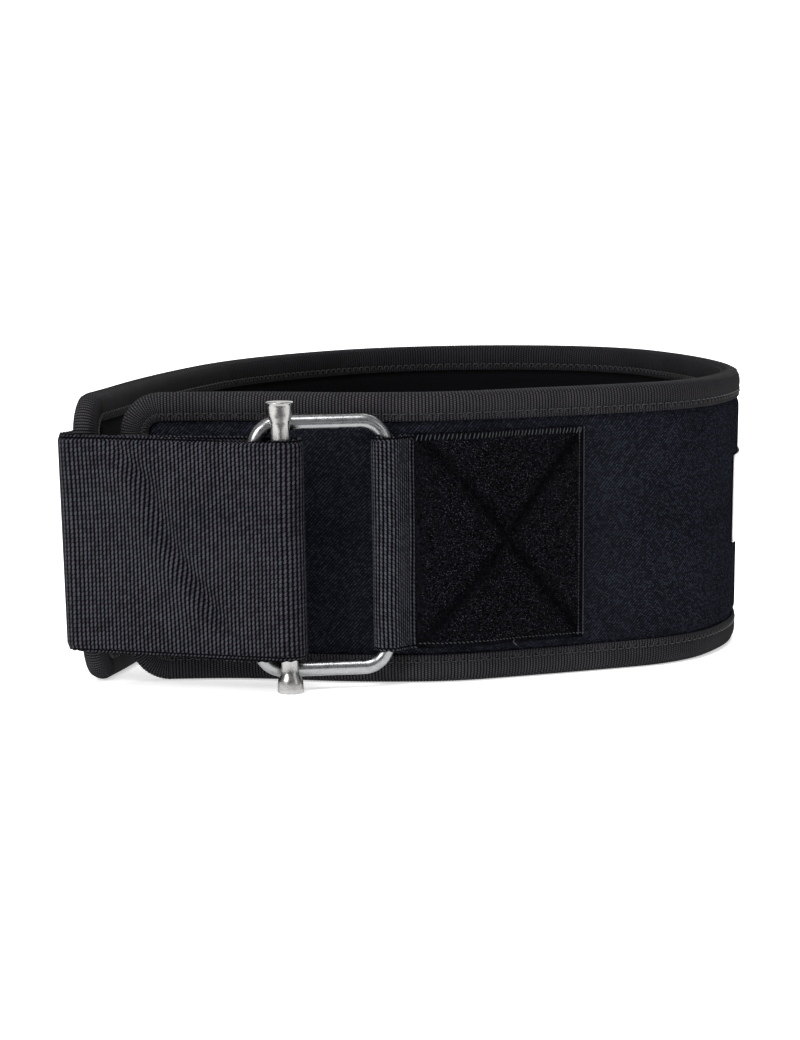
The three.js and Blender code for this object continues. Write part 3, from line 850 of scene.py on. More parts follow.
def strip(name, line, size, weave, fine, scallops, relief=None, sag=None):
    """A strip of webbing stood on edge, its outer face woven between two distances, its edges scalloped."""
    width, thickness = size
    fine_from, fine_to = fine
    at = stations(line, fine_from, fine_to, weave[0] / 4, STRIP_STEP)
    run, line_x, line_y, line_heading = run_of(line)
    x, y, heading = (np.interp(at, run, values)[:, None] for values in (line_x, line_y, line_heading))
    half = width / 2
    front = np.linspace(-1, 1, STRIP_ROWS)[None, :]
    back = np.linspace(1, -1, STRIP_ROWS // 4)[None, :]
    bite = 0.5 - 0.5 * np.cos(2 * math.pi * at[:, None] / scallops)
    rows = []
    for share, side in ((front, 1), (back, -1)):
        height = share * half * np.ones((len(at), 1))
        inward = half - np.abs(height)
        from_flat = 1 - np.minimum(inward / (thickness * EDGE_ROUNDING), 1)
        rounding = np.sqrt(np.clip(1 - from_flat**2, 0.03, 1))
        lift = side * thickness / 2 * rounding
        if relief:
            lift = lift + relief(at[:, None], height)
        if side > 0:
            u = at[:, None] + waver(at[:, None], height)
            lane, step = weave_lanes(u, height + half, weave)
            woven = hump(lane) * (1 - FLOAT_DIP + FLOAT_DIP * hump(step) ** FLOAT_ENDS)
            on = smoothstep(fine_from, fine_from + WEAVE_FADE, at[:, None])
            on = on * (1 - smoothstep(fine_to - WEAVE_FADE, fine_to, at[:, None]))
            lift = lift - WEAVE_DEPTH * (1 - woven) * on * smoothstep(0, WEAVE_MARGIN, inward)
        height = height - np.sign(share) * (inward < SCALLOP_REACH) * SCALLOP_DEPTH * bite
        if sag:
            height = height + sag(at[:, None])
        rows.append((lift, height, np.broadcast_to(at[:, None] + waver(at[:, None], height), height.shape)))
    lift, height = (np.concatenate([rows[0][k], rows[1][k]], axis=1) for k in range(2))
    across, forward = lift * np.sin(heading), lift * np.cos(heading)
    rings = np.stack([x + across, y - forward, BUCKLE_MIDDLE + height], axis=-1)
    (_, front_height, front_along), (_, back_height, back_along) = rows
    v = wrapped(front_height + half, back_height + half)
    return swept(name, placed(rings), wrapped(front_along, back_along), v)


STRAP_LINE = strap_line()


def strap_runs():
    """Distances along the strap at its fold round the slide bar and at its outer turn."""
    run, x, _, _ = run_of(STRAP_LINE)
    at = np.arange(0, run[-1], STRIP_STEP / 4)
    x = np.interp(at, run, x)
    fold = at[np.argmax(x)]
    beyond = at > fold + 20 * MM
    return fold, at[beyond][np.argmin(x[beyond])]


FOLD_AT, TURN_AT = strap_runs()

# The soft crease in the strap's outer layer: share of the run from the fold to the turn, share of the width
CREASE = ((0.76, 0.47), (0.63, 0.29), (0.55, 0.02), (0.37, -0.3), (0.30, -0.48))
# Its dip and the dent beside it: height, distance past the crease, and width
CREASE_BELLS = ((2.4 * MM, 0.0, 3.6 * MM), (-1.1 * MM, 8.5 * MM, 5.5 * MM))
# Where it fades over the width: its middle, and how far away it starts and is gone
CREASE_MIDDLE = 0.05
CREASE_FADE = (0.25, 0.5)
# Where the free run starts and ends, as shares of the run from the fold to the turn
FREE_FROM = (0.05, 0.2)
FREE_TO = (0.85, 1.0)
# How much higher the layer runs: height, place and width as shares of that run
SAG_BELLS = ((0.5 * MM, 0.97, 0.12), (-0.9 * MM, 0.27, 0.16))


def bells(at, table):
    return sum(high * np.exp(-(((at - place) / width) ** 2)) for high, place, width in table)


def strap_relief(at, height):
    """The crease and the slight unevenness of the free run between the fold and the turn."""
    share = (at - FOLD_AT) / (TURN_AT - FOLD_AT)
    up = height / STRAP_WIDTH
    crease_x = np.interp(up, [p[1] for p in CREASE[::-1]], [p[0] for p in CREASE[::-1]])
    away = (share - crease_x) * (TURN_AT - FOLD_AT)
    on_run = smoothstep(*FREE_FROM, share) * (1 - smoothstep(*FREE_TO, share))
    fade = 1 - smoothstep(*CREASE_FADE, np.abs(up - CREASE_MIDDLE))
    high, apart = STRAP_WAVES
    return (bells(away, CREASE_BELLS) * fade - high * bumpy(at, height, apart, 9)) * on_run


def strap_sag(at):
    """The outer layer hangs a little near its fold and rises a little at its turn."""
    return bells((at - FOLD_AT) / (TURN_AT - FOLD_AT), SAG_BELLS)


def loop_line():
    reach = PATCH_START + LOOP_TAIL
    leave_at = PATCH_START - LOOP_THICKNESS
    radius = WIRE_RADIUS + corner_room(LOOP_WIDTH) + CLEARANCE + LOOP_THICKNESS / 2
    back = along_band(reach, leave_at, LOOP_OFFSET)
    front = along_band(leave_at, reach, LOOP_OFFSET + LOOP_PITCH)
    bar = (RIGHT_BAR[0], RIGHT_BAR[1], radius)
    arriving = tangent((back[-1][0], back[-1][1], 0.0), bar, 1)
    leaving = tangent(bar, (front[0][0], front[0][1], 0.0), 1)
    return back + round_posts([bar], 1, arriving, leaving) + front


# Pieces laid on the band
def laid_on(name, place, size, offset, thickness, corner, grid, front=None, drape=None):
    """A flat piece on the band, with round corners and soft edges. place is its start and middle height."""
    start, middle = place
    length, wide = size
    columns, rows = grid
    along = np.linspace(-length / 2, length / 2, columns)
    into = np.maximum(np.abs(along) - (length / 2 - corner), 0)
    half = wide / 2 - (corner - np.sqrt(np.maximum(corner**2 - into**2, 0)))
    share = np.linspace(-1, 1, rows)
    up = half[:, None] * share[None, :]
    flat = along[:, None] * np.ones_like(up)
    inward = np.minimum(length / 2 - np.abs(flat), wide / 2 - np.abs(up))
    soft = np.sqrt(np.clip(inward / (thickness / 2), 0.05, 1))
    distance = start + length / 2 + flat
    height = middle + up
    extra = 0 if front is None else front(flat, up)
    sink = 0 if drape is None else drape(flat)
    outer = offset + sink + thickness / 2 * soft + extra
    inner = offset + sink - thickness / 2 * soft
    return slab(name, distance, height, outer, inner, flat, up)


def patch_drape(flat):
    """How far the patch comes down to the band beyond the loop's sewn end."""
    on_band_offset = PANEL_HALF + 2 * CLEARANCE + PATCH_THICKNESS / 2
    start = LOOP_TAIL + LOOP_THICKNESS
    return (on_band_offset - PATCH_OFFSET) * smoothstep(start, start + PATCH_DRAPE, flat + PATCH_LENGTH / 2)


def patch_place(flat, up, lift):
    distance = PATCH_START + PATCH_LENGTH / 2 + flat
    height = MIDDLE + PATCH_RISE + up
    return placed(on_band(distance, height, PATCH_OFFSET + PATCH_THICKNESS / 2 + lift + patch_drape(flat)))


def patch_out():
    """The way out of the patch, one long."""
    return (patch_place(0.0, 0.0, MM) - patch_place(0.0, 0.0, 0)) / MM


def groove_distance(flat, up):
    """Distance from the pressed diagonals that cross in the patch's middle."""
    length, height = PATCH_LENGTH / 2 - PATCH_BORDER, PATCH_HEIGHT / 2 - PATCH_BORDER
    reach = math.hypot(length, height)
    return np.minimum(np.abs(flat * height - up * length), np.abs(flat * height + up * length)) / reach


def patch_inward(flat, up):
    return np.minimum(PATCH_LENGTH / 2 - np.abs(flat), PATCH_HEIGHT / 2 - np.abs(up))


def patch_front(flat, up):
    """Pile height over the backing: a low border, and four soft fields between pressed diagonals."""
    pile = smoothstep(*PILE_SLOPE, patch_inward(flat, up))
    away = groove_distance(flat, up)
    groove = 1 - smoothstep(0, GROOVE_HALF, away)
    field = smoothstep(0, FIELD_REACH, away)
    return pile * (PILE_HEIGHT * (1 - GROOVE_DEPTH * groove) + FIELD_SWELL * field) - BORDER_SINK


# One fibre's faces between two points at its foot, two at its knee, one inside the knee and its tip
FIBRE_FACES = (
    (0, 1, 3, 2),
    (1, 0, 4, 4),
    (0, 2, 4, 4),
    (1, 4, 3, 3),
    (2, 3, 5, 5),
    (3, 4, 5, 5),
    (4, 2, 5, 5),
)


def patch_pile():
    """Short curled fibres standing in the patch's middle."""
    flat = RNG.uniform(-1, 1, PILE_FIBRES) * (PATCH_LENGTH / 2 - FIBRE_BORDER)
    up = RNG.uniform(-1, 1, PILE_FIBRES) * (PATCH_HEIGHT / 2 - FIBRE_BORDER)
    kept = groove_distance(flat, up) > RNG.uniform(*GROOVE_CLEAR, PILE_FIBRES) * MM
    flat, up = flat[kept], up[kept]
    count = len(flat)
    rise = patch_front(flat, up)
    lean = RNG.uniform(0, 2 * math.pi, count)
    size = RNG.uniform(*FIBRE_SIZES, count) * MM

    def beside(turn, reach, lift):
        return patch_place(flat + np.cos(turn) * size * reach, up + np.sin(turn) * size * reach, rise + lift)

    root = patch_place(flat, up, rise - FIBRE_ROOT)
    knee = beside(lean + KNEE_TURN, KNEE_REACH, KNEE_RISE)
    tip = beside(lean, TIP_REACH, RNG.uniform(*TIP_RISES, count) * MM)
    side = np.cross(knee - root, tip - root)
    side /= np.linalg.norm(side, axis=1, keepdims=True) + 1e-12
    foot, bend = side * FIBRE_HALF, side * FIBRE_HALF * 1.2
    corners = [root - foot, root + foot, knee - bend, knee + bend, knee + (knee - root) * 0.12, tip]
    vertices = np.stack(corners, axis=1).reshape(-1, 3)
    faces = (np.arange(count)[:, None, None] * len(corners) + np.array(FIBRE_FACES)[None]).reshape(-1, 4)
    faces = [tuple(dict.fromkeys(face)) for face in faces.tolist()]
    places = np.stack([flat, up], axis=1) / MM
    uvs = [places[face[0] // len(corners)] for face in faces for _ in face]
    return new_piece("patch_pile", vertices, faces, uvs)


def patch_stitches():
    """Slanted strokes along the patch's top, dots along its foot and two straight rows at its right."""
    lines = []
    length, height = PATCH_LENGTH / 2, PATCH_HEIGHT / 2
    low = THREAD_RADIUS / 2 - BORDER_SINK
    out = patch_out()
    share = np.linspace(0, 1, 5)
    bow = np.sin(share * math.pi) ** 0.6 * THREAD_RADIUS * 1.5

    def stitch(first, last):
        flat = first[0] + (last[0] - first[0]) * share
        up = first[1] + (last[1] - first[1]) * share
        lines.append((patch_place(flat, up, low - THREAD_RADIUS + bow), out))

    (foot, head), (dot_foot, dot_head) = STROKE_REACH, DOT_REACH
    for flat in np.arange(-length + PATCH_EDGE, length - PATCH_EDGE, STROKE_PITCH):
        near, far = RNG.uniform(-STROKE_STRAY, STROKE_STRAY, 2) * MM
        stitch((flat - STROKE_LEAN + near, height - foot), (flat + STROKE_LEAN + far, height - head))
        stitch((flat, dot_foot - height + near), (flat + DOT_SHARE * STROKE_PITCH, dot_head - height + far))
    for inset in RIGHT_ROWS:
        for up in np.arange(-height + PATCH_EDGE, height - PATCH_EDGE, ROW_PITCH):
            side = RNG.uniform(-ROW_STRAY, ROW_STRAY) * MM
            stitch((length - inset + side, up), (length - inset - side, up + ROW_SHARE * ROW_PITCH))
    return threads("patch_stitches", lines)


def loose_thread():
    """A short end of thread that curls at the patch's foot."""
    share = np.linspace(0, 1, 14)
    flat = (3.2 - 0.8 * np.sin(share * 4.4)) * MM
    up = -PATCH_HEIGHT / 2 + (1.2 - 2.2 * share) * MM
    points = patch_place(flat, up, (0.5 * np.sin(share * math.pi) - 0.3) * MM)
    return threads("patch_loose_thread", [(points, patch_out())])


# Materials
class Nodes:
    """A short way to write shader nodes."""

    def __init__(self, tree):
        self.tree = tree

    def link(self, value, socket):
        if isinstance(value, bpy.types.NodeSocket):
            self.tree.links.new(value, socket)
        else:
            socket.default_value = value

    def math(self, operation, a, b=0.0, clamp=False):
        node = self.tree.nodes.new("ShaderNodeMath")
        node.operation = operation
        node.use_clamp = clamp
        self.link(a, node.inputs[0])
        self.link(b, node.inputs[1])
        return node.outputs[0]

    def plus(self, a, b):
        return self.math("ADD", a, b)

    def minus(self, a, b):
        return self.math("SUBTRACT", a, b)

    def times(self, a, b, clamp=False):
        return self.math("MULTIPLY", a, b, clamp)

    def power(self, a, b):
        return self.math("POWER", a, b)

    def floor(self, a):
        return self.math("FLOOR", a)

    def scaled(self, value, gain, base):
        """The value times a gain, over a base."""
        return self.plus(self.times(value, gain), base)

    def varied(self, tone, value, change):
        """The tone times a value that is scaled with its change, a gain and a base."""
        return self.times(tone, self.scaled(value, *change))

    def split(self, vector):
        node = self.tree.nodes.new("ShaderNodeSeparateXYZ")
        self.tree.links.new(vector, node.inputs[0])
        return node.outputs

    def combine(self, x, y):
        node = self.tree.nodes.new("ShaderNodeCombineXYZ")
        self.link(x, node.inputs[0])
        self.link(y, node.inputs[1])
        return node.outputs[0]

    def uv(self):
        """Millimetres along a piece and across it."""
        node = self.tree.nodes.new("ShaderNodeUVMap")
        node.uv_map = "weave"
        return self.split(node.outputs[0])[:2]

    def place(self, kind="Object"):
        return self.tree.nodes.new("ShaderNodeTexCoord").outputs[kind]

    def noise(self, vector, scale, detail=3.0, roughness=0.55):
        node = self.tree.nodes.new("ShaderNodeTexNoise")
        self.tree.links.new(vector, node.inputs["Vector"])
        node.inputs["Scale"].default_value = scale
        node.inputs["Detail"].default_value = detail
        node.inputs["Roughness"].default_value = roughness
        return node.outputs["Fac"]

    def streaks(self, u, v, stretch, scale, detail):
        """Noise whose grain is drawn out along or across a piece."""
        along, across = stretch
        return self.noise(self.combine(self.times(u, along), self.times(v, across)), scale, detail)

    def cell(self, x, y):
        """A chance value for each whole cell."""
        node = self.tree.nodes.new("ShaderNodeTexWhiteNoise")
        self.tree.links.new(self.combine(x, y), node.inputs["Vector"])
        return node.outputs["Value"]

    def remap(self, value, low, high, to_low, to_high):
        node = self.tree.nodes.new("ShaderNodeMapRange")
        self.link(value, node.inputs["Value"])
        for socket, number in zip(("From Min", "From Max", "To Min", "To Max"), (low, high, to_low, to_high)):
            self.link(number, node.inputs[socket])
        return node.outputs["Result"]

    def hump(self, value):
        """A rounded ridge between one whole number and the next."""
        fraction = self.math("FRACT", value)
        centred = self.minus(self.times(fraction, 2.0), 1.0)
        return self.minus(1.0, self.times(centred, centred))

    def slanted(self, u, v, turns):
        """A count of ridges that repeat so many times per millimetre along and across."""
        along, across = turns
        return self.plus(self.times(u, along), self.times(v, across))


class Surface(Nodes):
    """A material of its own, with one shader."""

    def __init__(self, name):
        self.material = bpy.data.materials.new(name)
        self.material.use_nodes = True
        super().__init__(self.material.node_tree)
        self.tree.nodes.clear()
        output = self.tree.nodes.new("ShaderNodeOutputMaterial")
        self.shader = self.tree.nodes.new("ShaderNodeBsdfPrincipled")
        self.tree.links.new(self.shader.outputs["BSDF"], output.inputs["Surface"])

    def toned(self, share, tones):
        """A colour between the darkest and the lightest tone."""
        node = self.tree.nodes.new("ShaderNodeMix")
        node.data_type = "RGBA"
        self.link(share, node.inputs["Factor"])
        for tone, socket in zip(tones, ("A", "B")):
            self.link((*tone, 1), node.inputs[socket])
        return node.outputs["Result"]

    def finish(self, colour, roughness, height=None, depth=0.0, **sockets):
        """Depth is how deep the bump of the height goes."""
        self.link(colour, self.shader.inputs["Base Color"])
        self.link(roughness, self.shader.inputs["Roughness"])
        if height is not None:
            bump = self.tree.nodes.new("ShaderNodeBump")
            bump.inputs["Strength"].default_value = 1.0
            bump.inputs["Distance"].default_value = depth
            self.tree.links.new(height, bump.inputs["Height"])
            self.tree.links.new(bump.outputs["Normal"], self.shader.inputs["Normal"])
        for socket, value in sockets.items():
            self.shader.inputs[socket.replace("_", " ")].default_value = value
        return self.material


# Tones: the darkest and the lightest colour
TWILL_TONES = ((0.0021, 0.0023, 0.0033), (0.0262, 0.0288, 0.0405))
LINING_TONES = ((0.0008, 0.0008, 0.001), (0.0042, 0.0041, 0.005))
TAPE_TONES = ((0.0022, 0.002, 0.0023), (0.051, 0.0485, 0.0545))
STRAP_TONES = ((0.0012, 0.0012, 0.0016), (0.05, 0.0505, 0.0615))
LOOP_TONES = ((0.0012, 0.0012, 0.0016), (0.063, 0.066, 0.079))
PATCH_TONES = ((0.0004, 0.0004, 0.0006), (0.0115, 0.0115, 0.0148))
PILE_TONES = ((0.0008, 0.0008, 0.001), (0.17, 0.17, 0.21))
TAPE_THREAD_TONES = ((0.008, 0.008, 0.009), (0.03, 0.028, 0.031))
PATCH_THREAD_TONES = ((0.008, 0.008, 0.009), (0.036, 0.041, 0.048))
WIRE_TONES = ((0.15, 0.154, 0.162), (0.42, 0.422, 0.425))
ROD_TONES = ((0.22, 0.217, 0.213), (0.48, 0.472, 0.46))
LABEL_TONES = ((0.74, 0.74, 0.73), (0.86, 0.86, 0.85))

# Ridges per millimetre along and across
TWILL_RIDGES = (0.85, -0.75)
TWILL_THREADS = (0.8, 1.7)
LINING_KNIT = (1.25, 1.6)
TAPE_RIBS = 1 / 1.1
TAPE_THREADS = 1.35
SELVAGE_LOOPS = (0.72, 0.5)
SELVAGE_ROWS = 1 / 1.3
SEWING_TWIST = (0.6, 1.5)
FLOAT_TWIST = (1.1, 1.5)
# Millimetres of selvage at each edge
SELVAGE_WIDTH = 1.5

# Noise: scale per millimetre, detail and, where given, roughness
TWILL_FUZZ = (1.7, 4.0, 0.75)
LINING_FUZZ = (2.6, 5.0, 0.75)
TAPE_FUZZ = (3.0, 4.0, 0.7)
CLOUD = (0.05, 3.0)
TAPE_CLOUD = (0.08, 3.0)
SMUDGE = (0.45, 3.0)
# Noise in the object's own metres
PILE_CURL = (1500, 4.0, 0.7)
PILE_CLUMP = (260, 3.0)
LABEL_GRAIN = (900, 3.0)
# Drawn out noise: stretch along and across, scale and detail
FIBRES = ((4.5, 1.3), 1.5, 3.0)
SCRATCHES = ((3.0, 0.5), 2.0, 5.0)

# How much each thing changes a cloth's tone: gain and base
TWILL_THREAD_CHANGE = (0.8, 0.3)
TWILL_CELL_CHANGE = (1.1, 0.45)
CLOUD_CHANGE = (0.9, 0.55)
TAPE_THREAD_CHANGE = (0.6, 0.4)
TAPE_FUZZ_CHANGE = (0.7, 0.65)
DASH_CHANGE = (0.38, 0.62)
CELL_CHANGE = (0.7, 0.6)
TWIST_CHANGE = (1.35, 0.15)
FIBRE_CHANGE = (0.9, 0.5)
# The same as a range: what goes in from and to, and what comes out
TWILL_FUZZ_RANGE = (0.35, 0.65, 0.7, 1.3)
TAPE_RELIEF_RANGE = (0.3, 0.95, 0.0, 1.0)
# The tape's painted shade: its place from front to back, and how much of its tone is kept
TAPE_PAINTED_SHADE_RANGE = (-0.128, -0.03, 1.0, 0.44)
FLOAT_RANGE = (0.45, 0.98, 0.0, 1.0)
CURL_RANGE = (0.38, 0.66, 0.0, 1.0)
# Painted shade along the patch's pressed diagonals: distance from them, and how much tone is kept
GROOVE_PAINTED_SHADE_RANGE = (0.2, 4.2, 0.5, 1.0)


def twill_material():
    n = Surface("twill_cloth")
    u, v = n.uv()
    diagonal = n.slanted(u, v, TWILL_RIDGES)
    across = n.slanted(u, v, TWILL_THREADS)
    cell = n.cell(n.floor(diagonal), n.floor(across))
    fuzz = n.noise(n.combine(u, v), *TWILL_FUZZ)
    cloud = n.noise(n.combine(u, v), *CLOUD)
    weave = n.varied(n.hump(diagonal), n.power(n.hump(across), 1.5), TWILL_THREAD_CHANGE)
    tone = n.varied(weave, n.power(cell, 2.0), TWILL_CELL_CHANGE)
    tone = n.times(tone, n.remap(fuzz, *TWILL_FUZZ_RANGE))
    tone = n.varied(tone, cloud, CLOUD_CHANGE)
    tone = n.times(n.power(tone, 1.15), 0.75, True)
    height = n.scaled(fuzz, 0.7, weave)
    rough = n.remap(cell, 0, 1, 0.6, 0.8)
    return n.finish(n.toned(tone, TWILL_TONES), rough, height, 0.2 * MM, Specular_IOR_Level=0.0)


def lining_material():
    n = Surface("lining_cloth")
    u, v = n.uv()
    along, across = LINING_KNIT
    knit = n.times(n.hump(n.times(u, along)), n.hump(n.times(v, across)))
    fuzz = n.noise(n.combine(u, v), *LINING_FUZZ)
    height = n.scaled(knit, 0.6, fuzz)
    return n.finish(n.toned(fuzz, LINING_TONES), 0.95, height, 0.12 * MM, Specular_IOR_Level=0.03)


def tape_material():
    """Ribbed tape, with painted shade that darkens it towards the belt's far side."""
    n = Surface("binding_tape")
    u, v = n.uv()
    ribs = n.times(u, TAPE_RIBS)
    thread = n.hump(n.plus(n.times(v, TAPE_THREADS), n.times(n.floor(ribs), 0.5)))
    relief = n.varied(n.hump(ribs), thread, TAPE_THREAD_CHANGE)
    fuzz = n.noise(n.combine(u, v), *TAPE_FUZZ)
    cloud = n.noise(n.combine(u, v), *TAPE_CLOUD)
    back = n.split(n.place())[1]
    tone = n.times(n.remap(relief, *TAPE_RELIEF_RANGE), n.plus(cloud, 0.55))
    tone = n.varied(tone, fuzz, TAPE_FUZZ_CHANGE)
    # Painted shade: the tape is darkened towards the back of the belt, where the light falls off
    tone = n.times(tone, n.remap(back, *TAPE_PAINTED_SHADE_RANGE), True)
    height = n.scaled(fuzz, 0.35, relief)
    return n.finish(n.toned(tone, TAPE_TONES), 0.72, height, 0.22 * MM, Specular_IOR_Level=0.04)


def webbing_material(name, weave, width, tones):
    """Columns of floats across the strip, each broken into dashes, with a close selvage at both edges."""
    n = Surface(name)
    column, dash, start, length = (size / MM for size in weave)
    u, v = n.uv()
    lane = n.times(u, 1 / column)
    index = n.floor(lane)
    phase = n.times(n.minus(u, start), 2 * math.pi / length)
    alternate = n.minus(LANE_SHIFT, n.times(n.math("COSINE", phase), LANE_SWING))
    odd = n.times(n.math("FRACT", n.times(index, 0.5)), 2.0)
    step = n.plus(n.times(v, 1 / dash), n.plus(n.times(alternate, odd), n.times(index, LANE_SLOPE)))
    slant = n.times(n.minus(n.math("FRACT", step), 0.5), 0.2)
    dashes = n.power(n.hump(step), 0.5)
    woven = n.varied(n.hump(n.plus(lane, slant)), dashes, DASH_CHANGE)
    loops = n.times(n.hump(n.slanted(u, v, SELVAGE_LOOPS)), n.hump(n.times(v, SELVAGE_ROWS)))
    from_edge = n.math("MINIMUM", v, n.minus(width / MM, v))
    edge = n.math("LESS_THAN", from_edge, SELVAGE_WIDTH)
    relief = n.plus(n.times(loops, edge), n.times(woven, n.minus(1.0, edge)))
    cell = n.cell(index, n.floor(step))
    fibre = n.streaks(u, v, *FIBRES)
    cloud = n.noise(n.combine(u, v), *CLOUD)
    way = n.minus(n.times(odd, 2.0), 1.0)
    twist = n.hump(n.slanted(n.times(u, way), v, FLOAT_TWIST))
    tone = n.power(n.remap(relief, *FLOAT_RANGE), 1.5)
    changes = (CELL_CHANGE, TWIST_CHANGE, FIBRE_CHANGE, CLOUD_CHANGE)
    for value, change in zip((cell, twist, fibre, cloud), changes):
        tone = n.varied(tone, value, change)
    height = n.scaled(fibre, 0.25, relief)
    rough = n.remap(cell, 0, 1, 0.55, 0.7)
    return n.finish(n.toned(tone, tones), rough, height, 0.35 * MM, Specular_IOR_Level=0.015)


def patch_material(name, tones, sparse):
    """Black pile with pale specks, with painted shade that darkens it along the pressed diagonals."""
    n = Surface(name)
    where = n.place()
    u, v = n.uv()
    curl = n.noise(where, *PILE_CURL)
    clump = n.noise(where, *PILE_CLUMP)
    speck = n.power(n.cell(u, v), sparse)
    length, height = PATCH_LENGTH / 2 - PATCH_BORDER, PATCH_HEIGHT / 2 - PATCH_BORDER
    reach = math.hypot(length, height)
    one, other = n.times(u, height / reach), n.times(v, length / reach)
    rising = n.math("ABSOLUTE", n.minus(one, other))
    falling = n.math("ABSOLUTE", n.plus(one, other))
    away = n.math("MINIMUM", rising, falling)
    # Painted shade: darker towards the grooves of the pressed diagonals
    tone = n.times(n.remap(curl, *CURL_RANGE), n.remap(away, *GROOVE_PAINTED_SHADE_RANGE))
    tone = n.times(tone, n.times(speck, n.plus(clump, 0.5)), True)
    return n.finish(n.toned(tone, tones), 0.9, curl, 0.3 * MM, Specular_IOR_Level=0.0)


def thread_material(name, tones):
    n = Surface(name)
    u, v = n.uv()
    twist = n.hump(n.slanted(u, v, SEWING_TWIST))
    return n.finish(n.toned(twist, tones), 0.5, twist, 0.06 * MM, Specular_IOR_Level=0.4)


def steel_material(name, tones, turning, polish):
    """Worn metal. turning is how close its fine marks follow one another along the piece."""
    n = Surface(name)
    u, v = n.uv()
    drawn = n.streaks(u, v, (turning, 0.8 / turning), 1.6, 4.0)
    smudge = n.noise(n.combine(u, v), *SMUDGE)
    scratch = n.streaks(u, v, *SCRATCHES)
    rough = n.scaled(scratch, 0.1, n.remap(smudge, 0.3, 0.7, polish, polish + 0.12))
    wear = n.times(n.plus(n.plus(smudge, scratch), drawn), 1 / 3)
    colour = n.toned(n.remap(wear, 0.25, 0.75, 0.0, 1.0), tones)
    height = n.scaled(scratch, 0.5, drawn)
    return n.finish(colour, rough, height, 0.002 * MM, Metallic=1.0)


def label_material():
    n = Surface("label_print")
    grain = n.noise(n.place(), *LABEL_GRAIN)
    return n.finish(n.toned(grain, LABEL_TONES), n.remap(grain, 0.3, 0.7, 0.42, 0.55), grain, 0.04 * MM)


def dressed(piece, material, node=None):
    piece.data.materials.append(material)
    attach(piece, "root")
    if node:
        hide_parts(node)
    return piece


# Build
TWILL = twill_material()
LINING = lining_material()
TAPE = tape_material()
# A weave: its column and dash, and where its pattern of alternating dashes starts and how long it is
STRAP_WEAVE = (STRAP_COLUMN, STRAP_DASH, FOLD_AT, TURN_AT - FOLD_AT)
LOOP_WEAVE = (LOOP_COLUMN, LOOP_DASH, 0.0, LOOP_PATTERN)
STRAP_CLOTH = webbing_material("strap_webbing", STRAP_WEAVE, STRAP_WIDTH, STRAP_TONES)
LOOP_CLOTH = webbing_material("loop_webbing", LOOP_WEAVE, LOOP_WIDTH, LOOP_TONES)
PATCH_CLOTH = patch_material("patch_backing", PATCH_TONES, 0.5)
PILE = patch_material("patch_fibre", PILE_TONES, 3.0)
TAPE_THREAD = thread_material("tape_thread", TAPE_THREAD_TONES)
PATCH_THREAD = thread_material("patch_thread", PATCH_THREAD_TONES)
WIRE_STEEL = steel_material("wire_steel", WIRE_TONES, 0.12, 0.17)
ROD_STEEL = steel_material("rod_steel", ROD_TONES, 4.0, 0.16)
PRINT = label_material()

band = dressed(panel("band_twill", band_front, band_back), TWILL, "padded_band")
lining = dressed(panel("band_lining", lining_front, lining_back), LINING, "inner_lining")
tape = dressed(binding(), TAPE, "edge_binding")
outer_row = dressed(binding_stitches("tape_stitches_outer", 1), TAPE_THREAD)
inner_row = dressed(binding_stitches("tape_stitches_inner", -1), TAPE_THREAD)
STRAP_FINE = (FOLD_AT - FINE_BEFORE, TURN_AT + FINE_BEYOND)
strap = dressed(
    strip("strap_web", STRAP_LINE, (STRAP_WIDTH, STRAP_THICKNESS), STRAP_WEAVE, STRAP_FINE, STRAP_SCALLOPS,
          strap_relief, strap_sag),
    STRAP_CLOTH, "strap",
)
LOOP_LINE = loop_line()
LOOP_FINE = (LOOP_TAIL, run_of(LOOP_LINE)[0][-1] - LOOP_TAIL)
loop = dressed(
    strip("loop_web", LOOP_LINE, (LOOP_WIDTH, LOOP_THICKNESS), LOOP_WEAVE, LOOP_FINE, LOOP_SCALLOPS),
    LOOP_CLOTH, "keeper_loop",
)
wire = dressed(frame_wire(), WIRE_STEEL, "frame_ring")
rod = dressed(slide_rod(), ROD_STEEL, "slide_bar")
PATCH_PLACE = (PATCH_START, MIDDLE + PATCH_RISE)
patch = dressed(
    laid_on("patch_cloth", PATCH_PLACE, (PATCH_LENGTH, PATCH_HEIGHT), PATCH_OFFSET, PATCH_THICKNESS,
            PATCH_CORNER, PATCH_GRID, patch_front, patch_drape),
    PATCH_CLOTH, "hook_patch",
)
pile = dressed(patch_pile(), PILE)
sewing = dressed(patch_stitches(), PATCH_THREAD)
loose = dressed(loose_thread(), PATCH_THREAD)
LABEL_PLACE = (LABEL_START, MIDDLE + LABEL_RISE)
label = dressed(
    laid_on("label_white", LABEL_PLACE, (LABEL_LENGTH, LABEL_HEIGHT), LABEL_OFFSET, LABEL_THICKNESS,
            LABEL_CORNER, LABEL_GRID),
    PRINT, "side_label",
)

# The tape's length round the band's edge
TAPE_LENGTH = edge_loop(RIB_PITCH)[-1]


# Studio
def add_camera():
    data = bpy.data.cameras.new("camera")
    data.lens = CAMERA_LENS
    data.sensor_width = SENSOR
    data.clip_end = 20
    camera = linked("camera", data)
    place = Vector((SHIFT[0], SHIFT[1] - CAMERA_DISTANCE, BAND_HEIGHT + CAMERA_RISE))
    turn = Matrix.Rotation(math.pi / 2 - CAMERA_PITCH, 4, "X") @ Matrix.Rotation(-CAMERA_ROLL, 4, "Z")
    camera.matrix_world = Matrix.Translation(place) @ turn
    bpy.context.scene.camera = camera


def stage_sheet(name, corners, colour, roughness, **sockets):
    """A flat part of the studio with a plain finish."""
    mesh = bpy.data.meshes.new(name)
    mesh.from_pydata(corners, [], [(0, 1, 2, 3)])
    sheet = linked(name, mesh)
    sheet.data.materials.append(Surface(name + "_finish").finish(colour, roughness, **sockets))
    return sheet


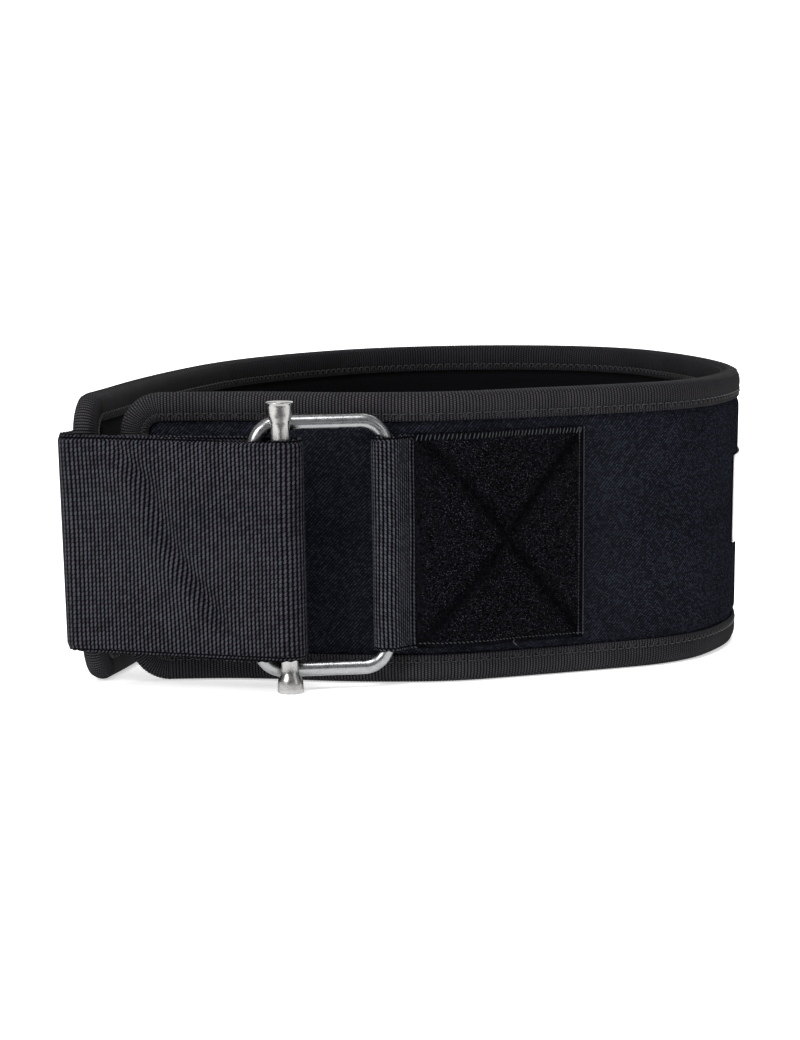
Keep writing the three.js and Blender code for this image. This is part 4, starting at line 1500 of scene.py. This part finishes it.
def add_floor():
    half = FLOOR_HALF
    corners = [(-half, -half, 0), (half, -half, 0), (half, half, 0), (-half, half, 0)]
    glow = {"Emission_Color": (1, 1, 1, 1), "Emission_Strength": FLOOR_GLOW}
    stage_sheet("floor", corners, FLOOR_WHITE, 0.8, **glow)


def add_cards():
    """Dark cards that only reflections see, so the metal gets its dark streaks."""
    near, far, side = FLOOR_CARD
    away, half, top = FRONT_CARD
    cards = {
        "floor_card": [(-side, -far, MM), (side, -far, MM), (side, -near, MM), (-side, -near, MM)],
        "front_card": [(-half, -away, MM), (half, -away, MM), (half, -away, top), (-half, -away, top)],
    }
    for name, corners in cards.items():
        card = stage_sheet(name, corners, CARD_GREY, 0.9)
        card.visible_camera = False
        card.visible_diffuse = False
        card.visible_shadow = False


def add_panel_light(name, place, size, power):
    data = bpy.data.lights.new(name, "AREA")
    data.shape = "RECTANGLE"
    data.size, data.size_y = size
    data.energy = power
    light = linked(name, data)
    light.location = place
    light.rotation_euler = (Vector(LIT_PLACE) - Vector(place)).to_track_quat("-Z", "Y").to_euler()


def add_sun():
    light = linked("overhead", bpy.data.lights.new("overhead", "SUN"))
    light.data.energy = SUN_STRENGTH
    light.data.angle = SUN_WIDTH
    light.rotation_euler = Vector(SUN_TOWARDS).to_track_quat("-Z", "Y").to_euler()


def add_sky():
    """White behind the belt, dim above it and dark in front, as in a studio with a lit backdrop."""
    world = bpy.data.worlds.new("studio")
    world.use_nodes = True
    n = Nodes(world.node_tree)
    _, backwards, upwards = n.split(n.place("Generated"))
    backdrop = n.times(n.remap(backwards, *SKY_BACK), n.remap(upwards, *SKY_BACK_RISE))
    background = n.tree.nodes["Background"]
    n.link(n.plus(backdrop, n.remap(upwards, *SKY_RISE)), background.inputs["Strength"])
    n.link((1, 1, 1, 1), background.inputs["Color"])
    bpy.context.scene.world = world


add_camera()
add_floor()
add_cards()
add_sky()
add_sun()
for name, place, size, power in PANEL_LIGHTS:
    add_panel_light(name, place, size, power)
bpy.context.scene.view_settings.view_transform = "Standard"
